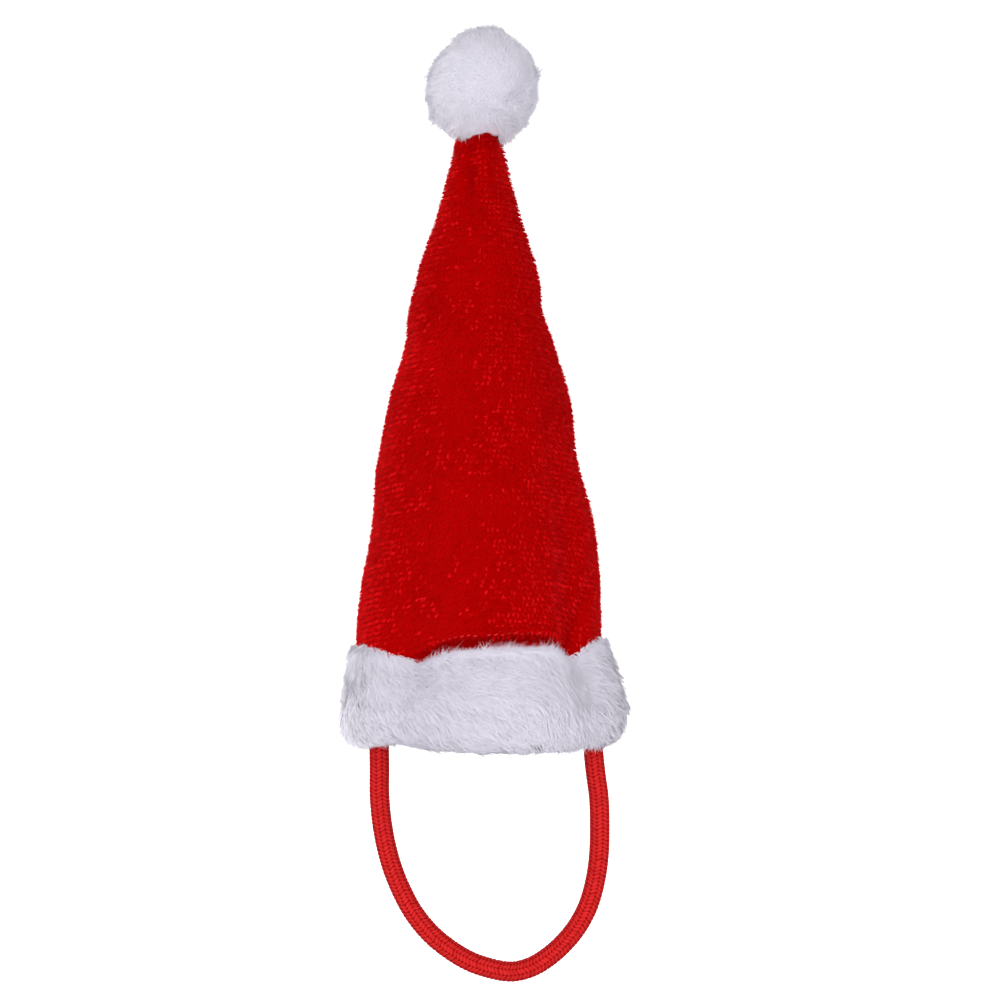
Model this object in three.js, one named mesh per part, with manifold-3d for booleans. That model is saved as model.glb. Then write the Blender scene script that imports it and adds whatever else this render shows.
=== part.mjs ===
// A small santa hat: a hollow red plush cone, a white fur band round its hem, a white fur pompom on its
// tip and a red elastic chin cord that hangs in a loop below the band.
// Millimetres, +Z up. The origin is the middle of the rim, where the head goes in. The front faces -Y.
import * as THREE from "three";
import { mergeVertices } from "three/addons/utils/BufferGeometryUtils.js";
import { ParametricGeometry } from "three/addons/geometries/ParametricGeometry.js";
import Module from "manifold-3d";

const wasm = await Module();
wasm.setup();

// Thicknesses and clearances
const PLUSH_WALL = 2.5;        // cloth with its short pile
const GAP = 0.3;               // clear space between neighbouring pieces
const POCKET_TRIM = 0.18;      // lock roots are cut back this far from the plush inside the band
const WELD = 1e-3;             // corners closer than this are one
const SIDES_ROUND = 44;        // facets round the crown and the band

// Crown: the outer face at each height. width and depth are measured across the hat, and x and y are the
// place of its middle.
const CROWN_SECTIONS = [
  { z: 0, width: 64.4, depth: 45.0, x: 1.3, y: -1.0 },
  { z: 10, width: 63.2, depth: 44.5, x: 1.1, y: -1.0 },
  { z: 26, width: 62.4, depth: 43.5, x: -0.1, y: -1.0 },
  { z: 41, width: 60.2, depth: 42.5, x: 0.2, y: -1.0 },
  { z: 56, width: 55.6, depth: 40.0, x: 0.7, y: -0.8 },
  { z: 71, width: 50.8, depth: 37.0, x: -0.6, y: -0.6 },
  { z: 86, width: 46.0, depth: 33.5, x: -0.2, y: -0.3 },
  { z: 101, width: 38.0, depth: 29.5, x: 0.0, y: 0.0 },
  { z: 109, width: 34.6, depth: 27.0, x: -1.0, y: 0.2 },
  { z: 116, width: 32.0, depth: 25.0, x: -0.5, y: 0.4 },
  { z: 131, width: 23.2, depth: 19.5, x: -0.4, y: 0.7 },
  { z: 146, width: 14.4, depth: 13.0, x: -0.5, y: 0.9 },
  { z: 151, width: 11.4, depth: 10.4, x: -0.9, y: 1.0 },
  { z: 154, width: 9.6, depth: 9.0, x: -0.9, y: 1.0 },
];
const CROWN_HEM = 3.0;         // lowest edge of the plush, wrapped by the band
const TIP_TOP = 155.0;         // top of the gathered tip
const HOLLOW_TOP = 149.0;      // the hollow ends here, below the gathers
const TIP_TILT = { rise: 0.27, from: 141, to: 151 };   // the gathered tip climbs to the right
const CROWN_LEVELS = [10, 18, 26, 33, 41, 48, 56, 63, 71, 78, 86, 93, 101, 109, 116, 123, 131, 138, 146];
const TIP_LEVELS = [151, 154];

// Folds: at is the place round the hat in degrees, 0 to the right and 270 to the front. Each hollow is
// depth deep and spread degrees wide, is deepest at one height and fades over its reach. The band's top
// edge drops by dip where it crosses the fold.
const FOLDS = [
  { name: "right_crease", at: 323, depth: 3.4, spread: 12, deepest: 22, reach: 46, dip: 4.4 },
  { name: "left_hollow", at: 236, depth: 2.4, spread: 16, deepest: 20, reach: 40, dip: 3.6 },
  { name: "right_side_dent", at: 5, depth: 0.7, spread: 22, deepest: 73, reach: 6, dip: 0 },
  { name: "right_neck_dent", at: 0, depth: 0.5, spread: 25, deepest: 111, reach: 6, dip: 0 },
  { name: "neck_pleat", at: 251, depth: 1.5, spread: 18, deepest: 150, reach: 14, dip: 0 },
  { name: "back_pleat", at: 60, depth: 1.2, spread: 18, deepest: 150, reach: 14, dip: 0 },
  { name: "back_seam", at: 90, depth: 0.9, spread: 6, deepest: 70, reach: 120, dip: 1.0 },
];

// Fur band: its section as a loop, from the pocket that holds the hem up to the turned-in edge, down the
// inside, round the foot and up the outside. out is the distance from the crown's outer face, z the height
// where the top edge is level.
const BAND_TOP = 26.0;
const BAND_TOP_SLOPE = 0.9;    // the edge stands this much higher on the right and lower on the left
const BAND_FOOT_LIFT = { at: 0, spread: 24, rise: 1.8 };   // the foot lifts at the right, where it flares
const BAND_SECTION = [
  { out: GAP, z: CROWN_HEM - GAP },
  { out: -PLUSH_WALL - GAP, z: CROWN_HEM - GAP },
  { out: -PLUSH_WALL - GAP, z: 10.0 },
  { out: -3.9, z: 11.0 },
  { out: -4.9, z: 10.0 },
  { out: -5.3, z: 6.0 },
  { out: -5.0, z: 2.4 },
  { out: -3.4, z: 0.4 },
  { out: -1.4, z: 0.0 },
  { out: 0.6, z: 0.7 },
  { out: 2.4, z: 3.0 },
  { out: 3.7, z: 7.0 },
  { out: 4.0, z: 11.0 },
  { out: 3.0, z: 17.0 },
  { out: 1.8, z: 22.5 },
  { out: 1.1, z: BAND_TOP },
  { out: GAP, z: 24.4 },
];

// Locks of the band, combed down and round to the right, in rows from the top edge to the foot
const BAND_LOCK_ROWS = [
  { z: 23.5, out: 1.1, count: 22, length: 9.5, width: 2.3, thickness: 1.0, lift: 0.14 },
  { z: 18.0, out: 2.1, count: 23, length: 9.8, width: 2.4, thickness: 1.2, lift: 0.16 },
  { z: 12.0, out: 2.9, count: 24, length: 9.2, width: 2.4, thickness: 1.3, lift: 0.12 },
  { z: 7.5, out: 2.5, count: 24, length: 6.6, width: 2.2, thickness: 1.3, lift: 0.05 },
];
const BAND_COMB = { down: 0.75, round: 0.65 };
const BAND_UNEVEN = { place: 0.5, stagger: 0.3, height: 0.8, comb: 0.25, length: 0.15 };

// Pompom: a ball core, with locks that start inside it, lean over and end at its full radius
const POMPOM_CENTRE = new THREE.Vector3(0.9, 0.8, 165.7);
const POMPOM_RADIUS = 14.9;
const POMPOM_CORE = 13.5;
const POMPOM_LOCKS = { count: 76, width: 2.9, thickness: 1.8, root: 9.2, leanDegrees: 56 };
const POMPOM_COMB = { right: 0.8, down: 0.6 };
const POMPOM_UNEVEN = { back: 0.3, down: 0.4, length: 0.06 };

// Locks are spindles: widest at this share of their length
const LOCK_SIDES = 5;
const LOCK_BELLY = 0.4;

// Chin cord: the loop's centre line from the left end, sewn inside the band, to the right end
const CORD_DIAMETER = 4.8;
const CORD_SIDES = 10;
const CORD_STEPS = 26;
const CORD_Y = -1.0;
const CORD_ROUTE = [
  { x: -25.2, z: 8.0 },
  { x: -25.2, z: 2.0 },
  { x: -25.1, z: -5.5 },
  { x: -25.1, z: -11.5 },
  { x: -24.6, z: -17.5 },
  { x: -23.6, z: -23.5 },
  { x: -22.0, z: -29.5 },
  { x: -19.6, z: -35.5 },
  { x: -16.6, z: -41.0 },
  { x: -12.6, z: -46.0 },
  { x: -8.0, z: -49.9 },
  { x: -2.7, z: -53.1 },
  { x: 2.8, z: -55.0 },
  { x: 8.0, z: -55.75 },
  { x: 12.8, z: -54.6 },
  { x: 17.4, z: -51.8 },
  { x: 21.6, z: -47.9 },
  { x: 24.9, z: -43.5 },
  { x: 27.3, z: -38.5 },
  { x: 28.9, z: -32.5 },
  { x: 29.7, z: -26.5 },
  { x: 29.9, z: -20.0 },
  { x: 29.7, z: -12.5 },
  { x: 28.8, z: -5.5 },
  { x: 28.1, z: 2.0 },
  { x: 27.9, z: 8.0 },
];

const plush = new THREE.MeshStandardMaterial({ color: 0xb00509, roughness: 0.85, metalness: 0 });
const fur = new THREE.MeshStandardMaterial({ color: 0xe4e1ea, roughness: 0.9, metalness: 0 });
const pompomFur = new THREE.MeshStandardMaterial({ color: 0xe8e6ee, roughness: 0.9, metalness: 0 });
const elastic = new THREE.MeshStandardMaterial({ color: 0xcc1a1c, roughness: 0.6, metalness: 0 });

// Repeatable numbers between -1 and 1 for one lock, so that locks differ a little from each other
function unevenness(index, count) {
  const entries = Array.from({ length: count }, (_, entry) => index * count + entry);
  return entries.map((entry) => 2 * THREE.MathUtils.seededRandom(entry) - 1);
}

// Smooth value of one column of the section table at height z
function sectionValue(column, z) {
  const last = CROWN_SECTIONS.length - 1;
  let row = 0;
  while (row < last - 1 && z > CROWN_SECTIONS[row + 1].z) {
    row += 1;
  }
  const slopeAt = (index) => {
    const above = CROWN_SECTIONS[Math.min(index + 1, last)];
    const below = CROWN_SECTIONS[Math.max(index - 1, 0)];
    return (above[column] - below[column]) / (above.z - below.z);
  };
  const lower = CROWN_SECTIONS[row];
  const upper = CROWN_SECTIONS[row + 1];
  const span = upper.z - lower.z;
  const t = (z - lower.z) / span;
  const rise = t * t * (3 - 2 * t);
  const easeLower = t * (1 - t) * (1 - t);
  const easeUpper = t * t * (t - 1);
  return lower[column] * (1 - rise) + upper[column] * rise
    + span * (easeLower * slopeAt(row) + easeUpper * slopeAt(row + 1));
}

// Share of a fold's depth that is felt at an angle in degrees
function foldShare(fold, degrees) {
  const away = ((degrees - fold.at + 540) % 360) - 180;
  return Math.exp(-((away / fold.spread) ** 2));
}

// Point at an angle and height, out millimetres outside the crown's outer face
function hatPoint(degrees, z, out) {
  const angle = THREE.MathUtils.degToRad(degrees);
  let inward = 0;
  for (const fold of FOLDS) {
    const fade = Math.exp(-(((z - fold.deepest) / fold.reach) ** 2));
    inward += fold.depth * fade * foldShare(fold, degrees);
  }
  const middleX = sectionValue("x", z);
  const x = middleX + (sectionValue("width", z) / 2 + out - inward) * Math.cos(angle);
  const y = sectionValue("y", z) + (sectionValue("depth", z) / 2 + out - inward) * Math.sin(angle);
  const tilt = TIP_TILT.rise * THREE.MathUtils.smoothstep(z, TIP_TILT.from, TIP_TILT.to);
  return new THREE.Vector3(x, y, z + tilt * (x - middleX));
}

// Height of a band row at an angle: the top edge follows the folds, and the foot lifts at the right
function bandHeight(degrees, z) {
  let top = BAND_TOP + BAND_TOP_SLOPE * Math.cos(THREE.MathUtils.degToRad(degrees));
  for (const fold of FOLDS) {
    top -= fold.dip * foldShare(fold, degrees);
  }
  const share = THREE.MathUtils.smoothstep(z, CROWN_HEM, BAND_TOP);
  const lift = BAND_FOOT_LIFT.rise * foldShare(BAND_FOOT_LIFT, degrees);
  return z + z * (top / BAND_TOP - 1) * share + lift * (1 - share);
}

// Merge the shared corners of a geometry and drop the triangles that close up at its poles
function closed(geometry) {
  const bare = new THREE.BufferGeometry();
  bare.setAttribute("position", geometry.getAttribute("position").clone());
  bare.setIndex(geometry.getIndex());
  const merged = mergeVertices(bare, WELD);
  const corners = merged.getIndex().array;
  const kept = [];
  for (let i = 0; i < corners.length; i += 3) {
    const [a, b, c] = corners.slice(i, i + 3);
    if (a !== b && b !== c && c !== a) {
      kept.push(a, b, c);
    }
  }
  merged.setIndex(kept);
  return merged;
}

function toSolid(geometry) {
  const shape = closed(geometry);
  return new wasm.Manifold(new wasm.Mesh({
    numProp: 3,
    vertProperties: new Float32Array(shape.getAttribute("position").array),
    triVerts: new Uint32Array(shape.getIndex().array),
  }));
}

function toGeometry(solid) {
  const mesh = solid.getMesh();
  const geometry = new THREE.BufferGeometry();
  geometry.setAttribute("position", new THREE.BufferAttribute(mesh.vertProperties, 3));
  geometry.setIndex(new THREE.BufferAttribute(mesh.triVerts, 1));
  return geometry;
}

// Closed skin through a list of rows, each a function of the angle in degrees
function skin(rows) {
  const last = rows.length - 1;
  return new ParametricGeometry((u, v, target) => {
    const row = rows[Math.min(Math.max(Math.round(v * last), 0), last)];
    target.copy(row(u * 360));
  }, SIDES_ROUND, last);
}

// A crown-shaped cup: its inner and outer faces moved by grow into the space around them
function crownCup(grow) {
  const wall = (level, out) => (degrees) => hatPoint(degrees, level, out);
  const pole = (level, grown) => () => {
    const z = Math.min(level, CROWN_SECTIONS.at(-1).z);
    return new THREE.Vector3(sectionValue("x", z), sectionValue("y", z), level + grown);
  };
  const hem = (out) => (degrees) => hatPoint(degrees, bandHeight(degrees, CROWN_HEM - grow), out);
  const inside = -PLUSH_WALL - grow;
  return skin([
    pole(HOLLOW_TOP, -grow),
    ...CROWN_LEVELS.toReversed().map((level) => wall(level, inside)),
    hem(inside),
    hem(grow),
    ...[...CROWN_LEVELS, ...TIP_LEVELS].map((level) => wall(level, grow)),
    pole(TIP_TOP, grow),
  ]);
}

// One lock: a spindle from its root along an axis, flattened towards the surface that it lies on
function lock(root, axis, surfaceNormal, size) {
  const profile = [
    new THREE.Vector2(0, 0),
    new THREE.Vector2(1, LOCK_BELLY),
    new THREE.Vector2(0, 1),
  ];
  const along = axis.clone().normalize();
  const across = new THREE.Vector3().crossVectors(along, surfaceNormal).normalize();
  const up = new THREE.Vector3().crossVectors(across, along);
  const place = new THREE.Matrix4().makeBasis(
    across.multiplyScalar(size.width),
    along.multiplyScalar(size.length),
    up.multiplyScalar(size.thickness),
  );
  place.setPosition(root);
  return toSolid(new THREE.LatheGeometry(profile, LOCK_SIDES).applyMatrix4(place));
}

// A tube along the cord's route, its two ends carried on by extra
function cordTube(diameter, extra) {
  const points = CORD_ROUTE.map((point) => new THREE.Vector3(point.x, CORD_Y, point.z));
  points[0].z += extra;
  points.at(-1).z += extra;
  const section = new THREE.Shape();
  for (let side = 0; side < CORD_SIDES; side += 1) {
    const angle = (2 * Math.PI * side) / CORD_SIDES;
    const corner = [Math.cos(angle) * diameter / 2, Math.sin(angle) * diameter / 2];
    if (side === 0) {
      section.moveTo(...corner);
    } else {
      section.lineTo(...corner);
    }
  }
  section.closePath();
  const extrudePath = new THREE.CatmullRomCurve3(points);
  return closed(new THREE.ExtrudeGeometry(section, { steps: CORD_STEPS, bevelEnabled: false, extrudePath }));
}

function furBand() {
  let band = toSolid(skin([...BAND_SECTION, BAND_SECTION[0]].map(
    (row) => (degrees) => hatPoint(degrees, bandHeight(degrees, row.z), row.out),
  )));
  let index = 0;
  for (const row of BAND_LOCK_ROWS) {
    for (let number = 0; number < row.count; number += 1) {
      index += 1;
      const [place, height, comb, length] = unevenness(index, 4);
      const step = number + BAND_UNEVEN.place * place + BAND_UNEVEN.stagger * row.z;
      const degrees = (360 * step) / row.count;
      const rootHeight = bandHeight(degrees, row.z + BAND_UNEVEN.height * height);
      const root = hatPoint(degrees, rootHeight, row.out);
      const round = hatPoint(degrees + 1, rootHeight, row.out).sub(root).normalize();
      const down = hatPoint(degrees, rootHeight - 1, row.out).sub(root).normalize();
      const outward = new THREE.Vector3().crossVectors(down, round).normalize();
      const axis = down.multiplyScalar(BAND_COMB.down)
        .addScaledVector(round, BAND_COMB.round + BAND_UNEVEN.comb * comb)
        .addScaledVector(outward, row.lift);
      const size = { ...row, length: row.length * (1 + BAND_UNEVEN.length * length) };
      band = band.add(lock(root, axis, outward, size));
    }
  }
  band = band.subtract(toSolid(crownCup(POCKET_TRIM)));
  return toGeometry(band.subtract(toSolid(cordTube(CORD_DIAMETER + 2 * GAP, GAP))));
}

function pompomBall() {
  const core = new THREE.IcosahedronGeometry(POMPOM_CORE, 3).translate(...POMPOM_CENTRE.toArray());
  let ball = toSolid(core);
  const golden = Math.PI * (3 - Math.sqrt(5));
  const leanAngle = THREE.MathUtils.degToRad(POMPOM_LOCKS.leanDegrees);
  const sideways = POMPOM_LOCKS.root * Math.sin(leanAngle);
  const fullLength = Math.sqrt(POMPOM_RADIUS ** 2 - sideways ** 2) - POMPOM_LOCKS.root * Math.cos(leanAngle);
  for (let number = 0; number < POMPOM_LOCKS.count; number += 1) {
    const rise = 1 - (2 * (number + 0.5)) / POMPOM_LOCKS.count;
    const ring = Math.sqrt(1 - rise * rise);
    const turn = golden * number;
    const outward = new THREE.Vector3(ring * Math.cos(turn), ring * Math.sin(turn), rise);
    const [back, down, length] = unevenness(number, 3);
    const comb = new THREE.Vector3(
      POMPOM_COMB.right,
      POMPOM_UNEVEN.back * back,
      POMPOM_UNEVEN.down * down - POMPOM_COMB.down,
    );
    const lean = comb.addScaledVector(outward, -comb.dot(outward)).normalize();
    const axis = outward.clone().multiplyScalar(Math.cos(leanAngle));
    axis.addScaledVector(lean, Math.sin(leanAngle));
    const root = outward.clone().multiplyScalar(POMPOM_LOCKS.root).add(POMPOM_CENTRE);
    const size = { ...POMPOM_LOCKS, length: fullLength * (1 + POMPOM_UNEVEN.length * length) };
    ball = ball.add(lock(root, axis, outward, size));
  }
  return toGeometry(ball.subtract(toSolid(crownCup(GAP))));
}

function piece(name, geometry, material) {
  const mesh = new THREE.Mesh(geometry, material);
  mesh.name = name;
  return mesh;
}

const hat = new THREE.Group();
hat.add(piece("crown", closed(crownCup(0)), plush));
hat.add(piece("fur_band", furBand(), fur));
hat.add(piece("pompom", pompomBall(), pompomFur));
hat.add(piece("chin_cord", cordTube(CORD_DIAMETER, 0), elastic));

export default hat;
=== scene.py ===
import math
from collections import namedtuple

import bpy
import numpy as np
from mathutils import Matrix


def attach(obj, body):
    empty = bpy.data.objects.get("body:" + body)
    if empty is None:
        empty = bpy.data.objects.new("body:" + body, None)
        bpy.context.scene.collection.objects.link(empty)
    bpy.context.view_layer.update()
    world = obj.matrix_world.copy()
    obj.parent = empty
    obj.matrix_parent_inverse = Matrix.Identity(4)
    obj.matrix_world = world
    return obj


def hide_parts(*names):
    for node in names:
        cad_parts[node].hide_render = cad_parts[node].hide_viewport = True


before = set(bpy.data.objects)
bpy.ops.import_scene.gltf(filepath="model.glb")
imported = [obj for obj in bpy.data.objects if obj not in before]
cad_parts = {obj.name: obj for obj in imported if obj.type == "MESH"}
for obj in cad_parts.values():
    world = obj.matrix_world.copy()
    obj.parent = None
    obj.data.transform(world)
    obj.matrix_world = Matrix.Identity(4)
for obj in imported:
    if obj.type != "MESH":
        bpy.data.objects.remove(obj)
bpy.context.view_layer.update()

# The hat stands upright: rim at height 0, front towards -Y, pompom up. Every size is in metres.
# Turns are degrees round the hat: 0 at the right, 90 at the back, 180 at the left, 270 at the front.

# Camera: level with the middle of the hat, far enough back for a flat, catalogue-like view
PICTURE_MIDDLE = (0.005, 0.062)          # x and z at the middle of the picture
PICTURE_WIDTH = 0.250                    # width that the picture takes in at the hat
CAMERA_DISTANCE = 0.90
SENSOR_WIDTH = 36.0                      # millimetres, as the camera wants it

# Elastic chin cord: one loop, both ends sewn in under the band
CORD_DIAMETER = 0.0048
CORD_Y = -0.001
CORD_ROUTE = [                           # x and z
    (-0.0252, 0.0080), (-0.0252, 0.0020), (-0.0251, -0.0055), (-0.0251, -0.0115),
    (-0.0246, -0.0175), (-0.0236, -0.0235), (-0.0220, -0.0295), (-0.0196, -0.0355),
    (-0.0166, -0.0410), (-0.0126, -0.0460), (-0.0080, -0.0499), (-0.0027, -0.0531),
    (0.0028, -0.0550), (0.0080, -0.05575), (0.0128, -0.0546), (0.0174, -0.0518),
    (0.0216, -0.0479), (0.0249, -0.0435), (0.0273, -0.0385), (0.0289, -0.0325),
    (0.0297, -0.0265), (0.0299, -0.0200), (0.0297, -0.0125), (0.0288, -0.0055),
    (0.0281, 0.0020), (0.0279, 0.0080),
]
CORD_CORE = 0.0048                       # thickness of the rubber core under the braid's crests
CORD_SIDES = 12                          # sides of the core
BRAID_COLUMNS = 10                       # columns of crossings round the cord
BRAID_PITCH = 0.00095                    # from one crossing to the next along the cord
BRAID_SLANT = 33.0                       # degrees; neighbouring columns slant opposite ways
BRAID_NOISE = {"slant": 0.06, "place": 0.05}   # shares of the slant and of the pitch
BRAID_SUNK = 0.22                        # a crossing's middle lies this share of its thickness in the cord
BRAID_TONE = (0.86, 1.15)
# painted shade: the core, seen between the crossings, is darker than the braid
CORE_PAINTED_SHADE = 0.85
CORD_SOFTNESS = 0.6                      # how far the braid's shading follows the cord and not the crossing
GRAIN = {"length": 0.00215, "width": 0.00104, "thick": 0.00080}

# Crown: sections of the cone from the rim up
HEIGHT, WIDTH, DEPTH, MIDDLE_X, MIDDLE_Y = range(5)
CROWN_SECTIONS = np.array([
    (0.000, 0.0644, 0.0450, 0.0013, -0.0010),
    (0.010, 0.0632, 0.0445, 0.0011, -0.0010),
    (0.026, 0.0624, 0.0435, -0.0001, -0.0010),
    (0.041, 0.0602, 0.0425, 0.0002, -0.0010),
    (0.056, 0.0556, 0.0400, 0.0007, -0.0008),
    (0.071, 0.0508, 0.0370, -0.0006, -0.0006),
    (0.086, 0.0460, 0.0335, -0.0002, -0.0003),
    (0.101, 0.0380, 0.0295, 0.0000, 0.0000),
    (0.109, 0.0346, 0.0270, -0.0010, 0.0002),
    (0.116, 0.0320, 0.0250, -0.0005, 0.0004),
    (0.131, 0.0232, 0.0195, -0.0004, 0.0007),
    (0.146, 0.0144, 0.0130, -0.0005, 0.0009),
    (0.151, 0.0114, 0.0104, -0.0009, 0.0010),
    (0.154, 0.0096, 0.0090, -0.0009, 0.0010),
])
CROWN_HEM = 0.003
CROWN_TIP = 0.154
TIP_TILT = {"rise": 0.27, "start": 0.141, "end": 0.151}
TIP_GATHER = (0.6, 0.5)                  # rings that draw the tip shut, each a share of the one before
TIP_POINT = 0.0008                       # the middle of the gathers stands this far above the tip's edge
Fold = namedtuple("Fold", "at depth spread deepest reach dip")
FOLDS = [
    Fold(at=323, depth=0.0034, spread=12, deepest=0.022, reach=0.046, dip=0.0044),   # crease at the right
    Fold(at=236, depth=0.0024, spread=16, deepest=0.020, reach=0.040, dip=0.0036),   # hollow at the left
    Fold(at=5, depth=0.0003, spread=22, deepest=0.073, reach=0.006, dip=0.0),        # dent in the right side
    Fold(at=0, depth=0.0002, spread=25, deepest=0.111, reach=0.006, dip=0.0),        # dent higher up
    Fold(at=251, depth=0.0015, spread=18, deepest=0.150, reach=0.014, dip=0.0),      # pleat at the tip
    Fold(at=60, depth=0.0012, spread=18, deepest=0.150, reach=0.014, dip=0.0),       # pleat behind the tip
    Fold(at=90, depth=0.0009, spread=6, deepest=0.070, reach=0.120, dip=0.0010),     # seam down the back
]
CLOTH_SIDES = 140
CLOTH_STEP = 0.0028                      # height between the cloth's rings
SEAM_ZONE = (0.0205, 0.0320)             # closer rings follow the seam here
SEAM_STEP = 0.0005
CLOTH_INSET = 0.0009                     # the knitted back lies this far under the plush's surface
TIP_INSET = 0.0003                       # at the tip the pile lies flat
CLOTH_WALL = 0.0009
SEAM_GROOVE = {"above": 0.0012, "depth": 0.0026, "spread": 0.0010}
SEAM_RIDGE = {"above": 0.0033, "height": 0.0010, "spread": 0.0011}
SEAM_SHOWS = [(232, 246, 308, 322), (30, 50, 130, 150)]   # turns where the seam rises, stays and sinks again
CLOTH_RIPPLE = {"height": 0.00035, "patch": 0.011}
PATCH_FIELD = {"girth": 0.17, "height": 0.20, "below": 0.01}   # the field of uneven patches wraps the hat
SIDE_CREASE = {"turn": (318, 346), "height": (0.0215, 0.047), "depth": 0.0020, "spread": 3.2}

# Stitches along the seam: the thread shows at the middle of the front and sinks in beside it
STITCH_PLACES = 120
STITCH_MISSED = 0.12                     # share of the places with no thread
STITCH_MIDDLE = 274                      # turn where the thread shows most
STITCH_REACH = {"spread": 20, "least": 0.2}
STITCH_OUT = {"sunk": -0.0009, "proud": 0.0, "spread": 14}
STITCH_BELOW_RIDGE = {"mean": 0.0002, "noise": 0.0001}
STITCH_SLANT = {"mean": 24.0, "noise": 8.0}
STITCH_SIZE = (0.5, 0.4, 0.5)            # length, width and thickness, as shares of a braid crossing
STITCH_TONE = (0.55, 1.4)

# A place round the hat where something is added: its turn, how far it spreads and how much it adds
Place = namedtuple("Place", "at spread share")

# Plush pile: tufts in knitted courses, combed down and to the left
PILE_COURSE = 0.00138
PILE_STEP = 0.00112
CONE_APEX = 0.1745                       # where the cone would come to a point
FLAT_CUT_ANGLE = 62.0                    # degrees, the flat cut of the cone opened out
PILE_FIBRES = 8
PILE_LENGTH = 0.0015
PILE_HALF_WIDTH = 0.00014
PILE_ROOT = 0.0001                       # roots lie this far inside the knitted back
# Courses start below the band's top and end below the apex. Tufts go on under the band and past the tip
PILE_ENDS = {"first": 0.007, "apex": 0.004, "under_band": 0.0022, "past_tip": 0.0004, "highest": 0.0006}
PILE_SHADING = {"softness": 0.92, "flatness": 0.7}
PILE_NAP = {"down": 0.72, "round": -0.25, "out": 0.64, "ruffled_out": 0.40}
NAP_PATCH = 0.012                        # size of the patches that lie one way
NAP_LEAN = {"patches": 0.5, "noise": 0.25, "swing": 0.6}
RUFFLE = {"mean": 0.50, "patches": 0.45, "fine_patches": 0.30}   # from 0, lying smooth, to 1
RUFFLED_PLACES = [Place(325, 36, 0.60), Place(203, 24, 0.45), Place(256, 26, -0.20)]
PILE_PAINTED_LIGHT_PLACES = [Place(350, 36, 1.0), Place(188, 30, 0.60)]   # painted light: the pile's tone is raised towards both sides of the hat
PILE_SIDE_PAINTED_LIGHT = 0.34
SHADE_PATCH = 0.009
# Tufts' tone: darker where the nap is ruffled, as painted shade between the specks, and lighter at the sides,
# as painted light
TUFT_SHADE = {
    "smooth": 0.95, "ruffled": -0.20, "patches": 0.12, "noise": 0.05, "sides": 0.12, "darkest": 0.55,
}
TUFT_SPREAD = {"smooth": 0.00044, "ruffled": -0.00010, "narrowest": 0.004}
TUFT_JITTER = {"turn": 0.25, "height": 0.00012}
# Specks are tufts that hold together and stand up, with a painted highlight: their tone above 1 mixes in a
# lighter glint colour
SPECK = {"spread": 0.00020, "out": 0.35, "loose": 0.4, "length": 0.80, "width": 2.15}
SPECK_SHARE = {"smooth": 0.05, "ruffled": 0.80, "power": 1.6}
SPECK_GLINT = {"least": 1.08, "range": 0.90, "power": 1.3}
FIBRE_NOISE = {"down": 0.16, "round": 0.18, "out": 0.10, "tone": 0.03}
FIBRE_LENGTH = (0.8, 1.1)
STRAY_FIBRES = {"share": 0.04, "length": 1.5, "out": 0.7}
PILE_AT_BAND = {"length": 0.75, "rise": (0.001, 0.006)}
# painted shade: in the seam's groove the pile is shorter and its tone darker
PILE_IN_GROOVE = {"spread": 0.0013, "shorter": 0.2, "darker": 0.6}

# Fur band: a strip of fur folded round the hem
BAND_TOP = 0.026
BAND_TOP_SLOPE = 0.0009
BAND_FOOT_LIFTS = [{"at": 0, "spread": 24, "rise": 0.0018}, {"at": 215, "spread": 30, "rise": 0.0021}]
BAND_FACE = np.array([                   # out and height of the fur's face, from the top edge round the rim
    (0.0011, 0.0260), (0.0018, 0.0225), (0.0030, 0.0170), (0.0040, 0.0110), (0.0037, 0.0070),
    (0.0024, 0.0030), (0.0006, 0.0007), (-0.0014, 0.0000), (-0.0034, 0.0004), (-0.0050, 0.0024),
    (-0.0053, 0.0060), (-0.0049, 0.0100), (-0.0039, 0.0110),
])
FACE_RUN = np.append(0.0, np.cumsum(np.linalg.norm(np.diff(BAND_FACE, axis=0), axis=1)))
FACE_LENGTH = FACE_RUN[-1]
FACE_ABOVE = 0.004                       # the face goes on this far above its top edge
BACKING_SIDES = 96
BACKING_RINGS = 30
BACKING_INSET = {"top": 0.0008, "both": 0.0012}   # the backing ends this far inside the fur's edges
BAND_BACKING_DEPTH = 0.0012              # the knitted back of the fur lies this far under its face
BAND_BACKING_WALL = 0.0007
COMB_DEGREES = [                         # turn, and how far the fur leans from straight down towards +turn
    (0, 22), (30, 40), (90, 48), (150, 40), (180, 28), (205, 50), (250, 58), (285, 50), (305, 22), (320, 12),
    (332, 36), (348, 34), (360, 22),
]
LEFT_CORNER = {                          # the fur stands square at the lower left
    "at": 182, "spread": 28, "swell": 0.0014, "run": 0.0235, "run_spread": 0.004,
}
LEFT_END_GLOW = {"at": 190, "spread": 27, "share": 0.9}   # light comes through the fur at the left end
HAIR_HALF_WIDTH = 0.00010
BAND_HALF_WIDTH = 0.029                  # to turn a length round the band into degrees
BAND_FACE_ENDS = 0.0185                  # below this run the hairs bend round the rim
BAND_FOLD_SHARE = 0.5                    # the fur's loft evens out half of each fold
BAND_LOCKS = 3800
BAND_LOCK_HAIRS = 14
BAND_HAIR_LENGTH = 0.0056
BAND_LOCK = {
    "run": (-0.04, 0.93), "length": (0.8, 1.1), "lean_noise": 0.20, "comb_patch": 0.006, "comb_lean": 0.38,
    "tone": 0.97, "tone_noise": 0.035, "lift": 0.0001, "lift_noise": 0.00022,
    "raised_share": 0.10, "raised": (0.0003, 0.0012),
}
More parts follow.
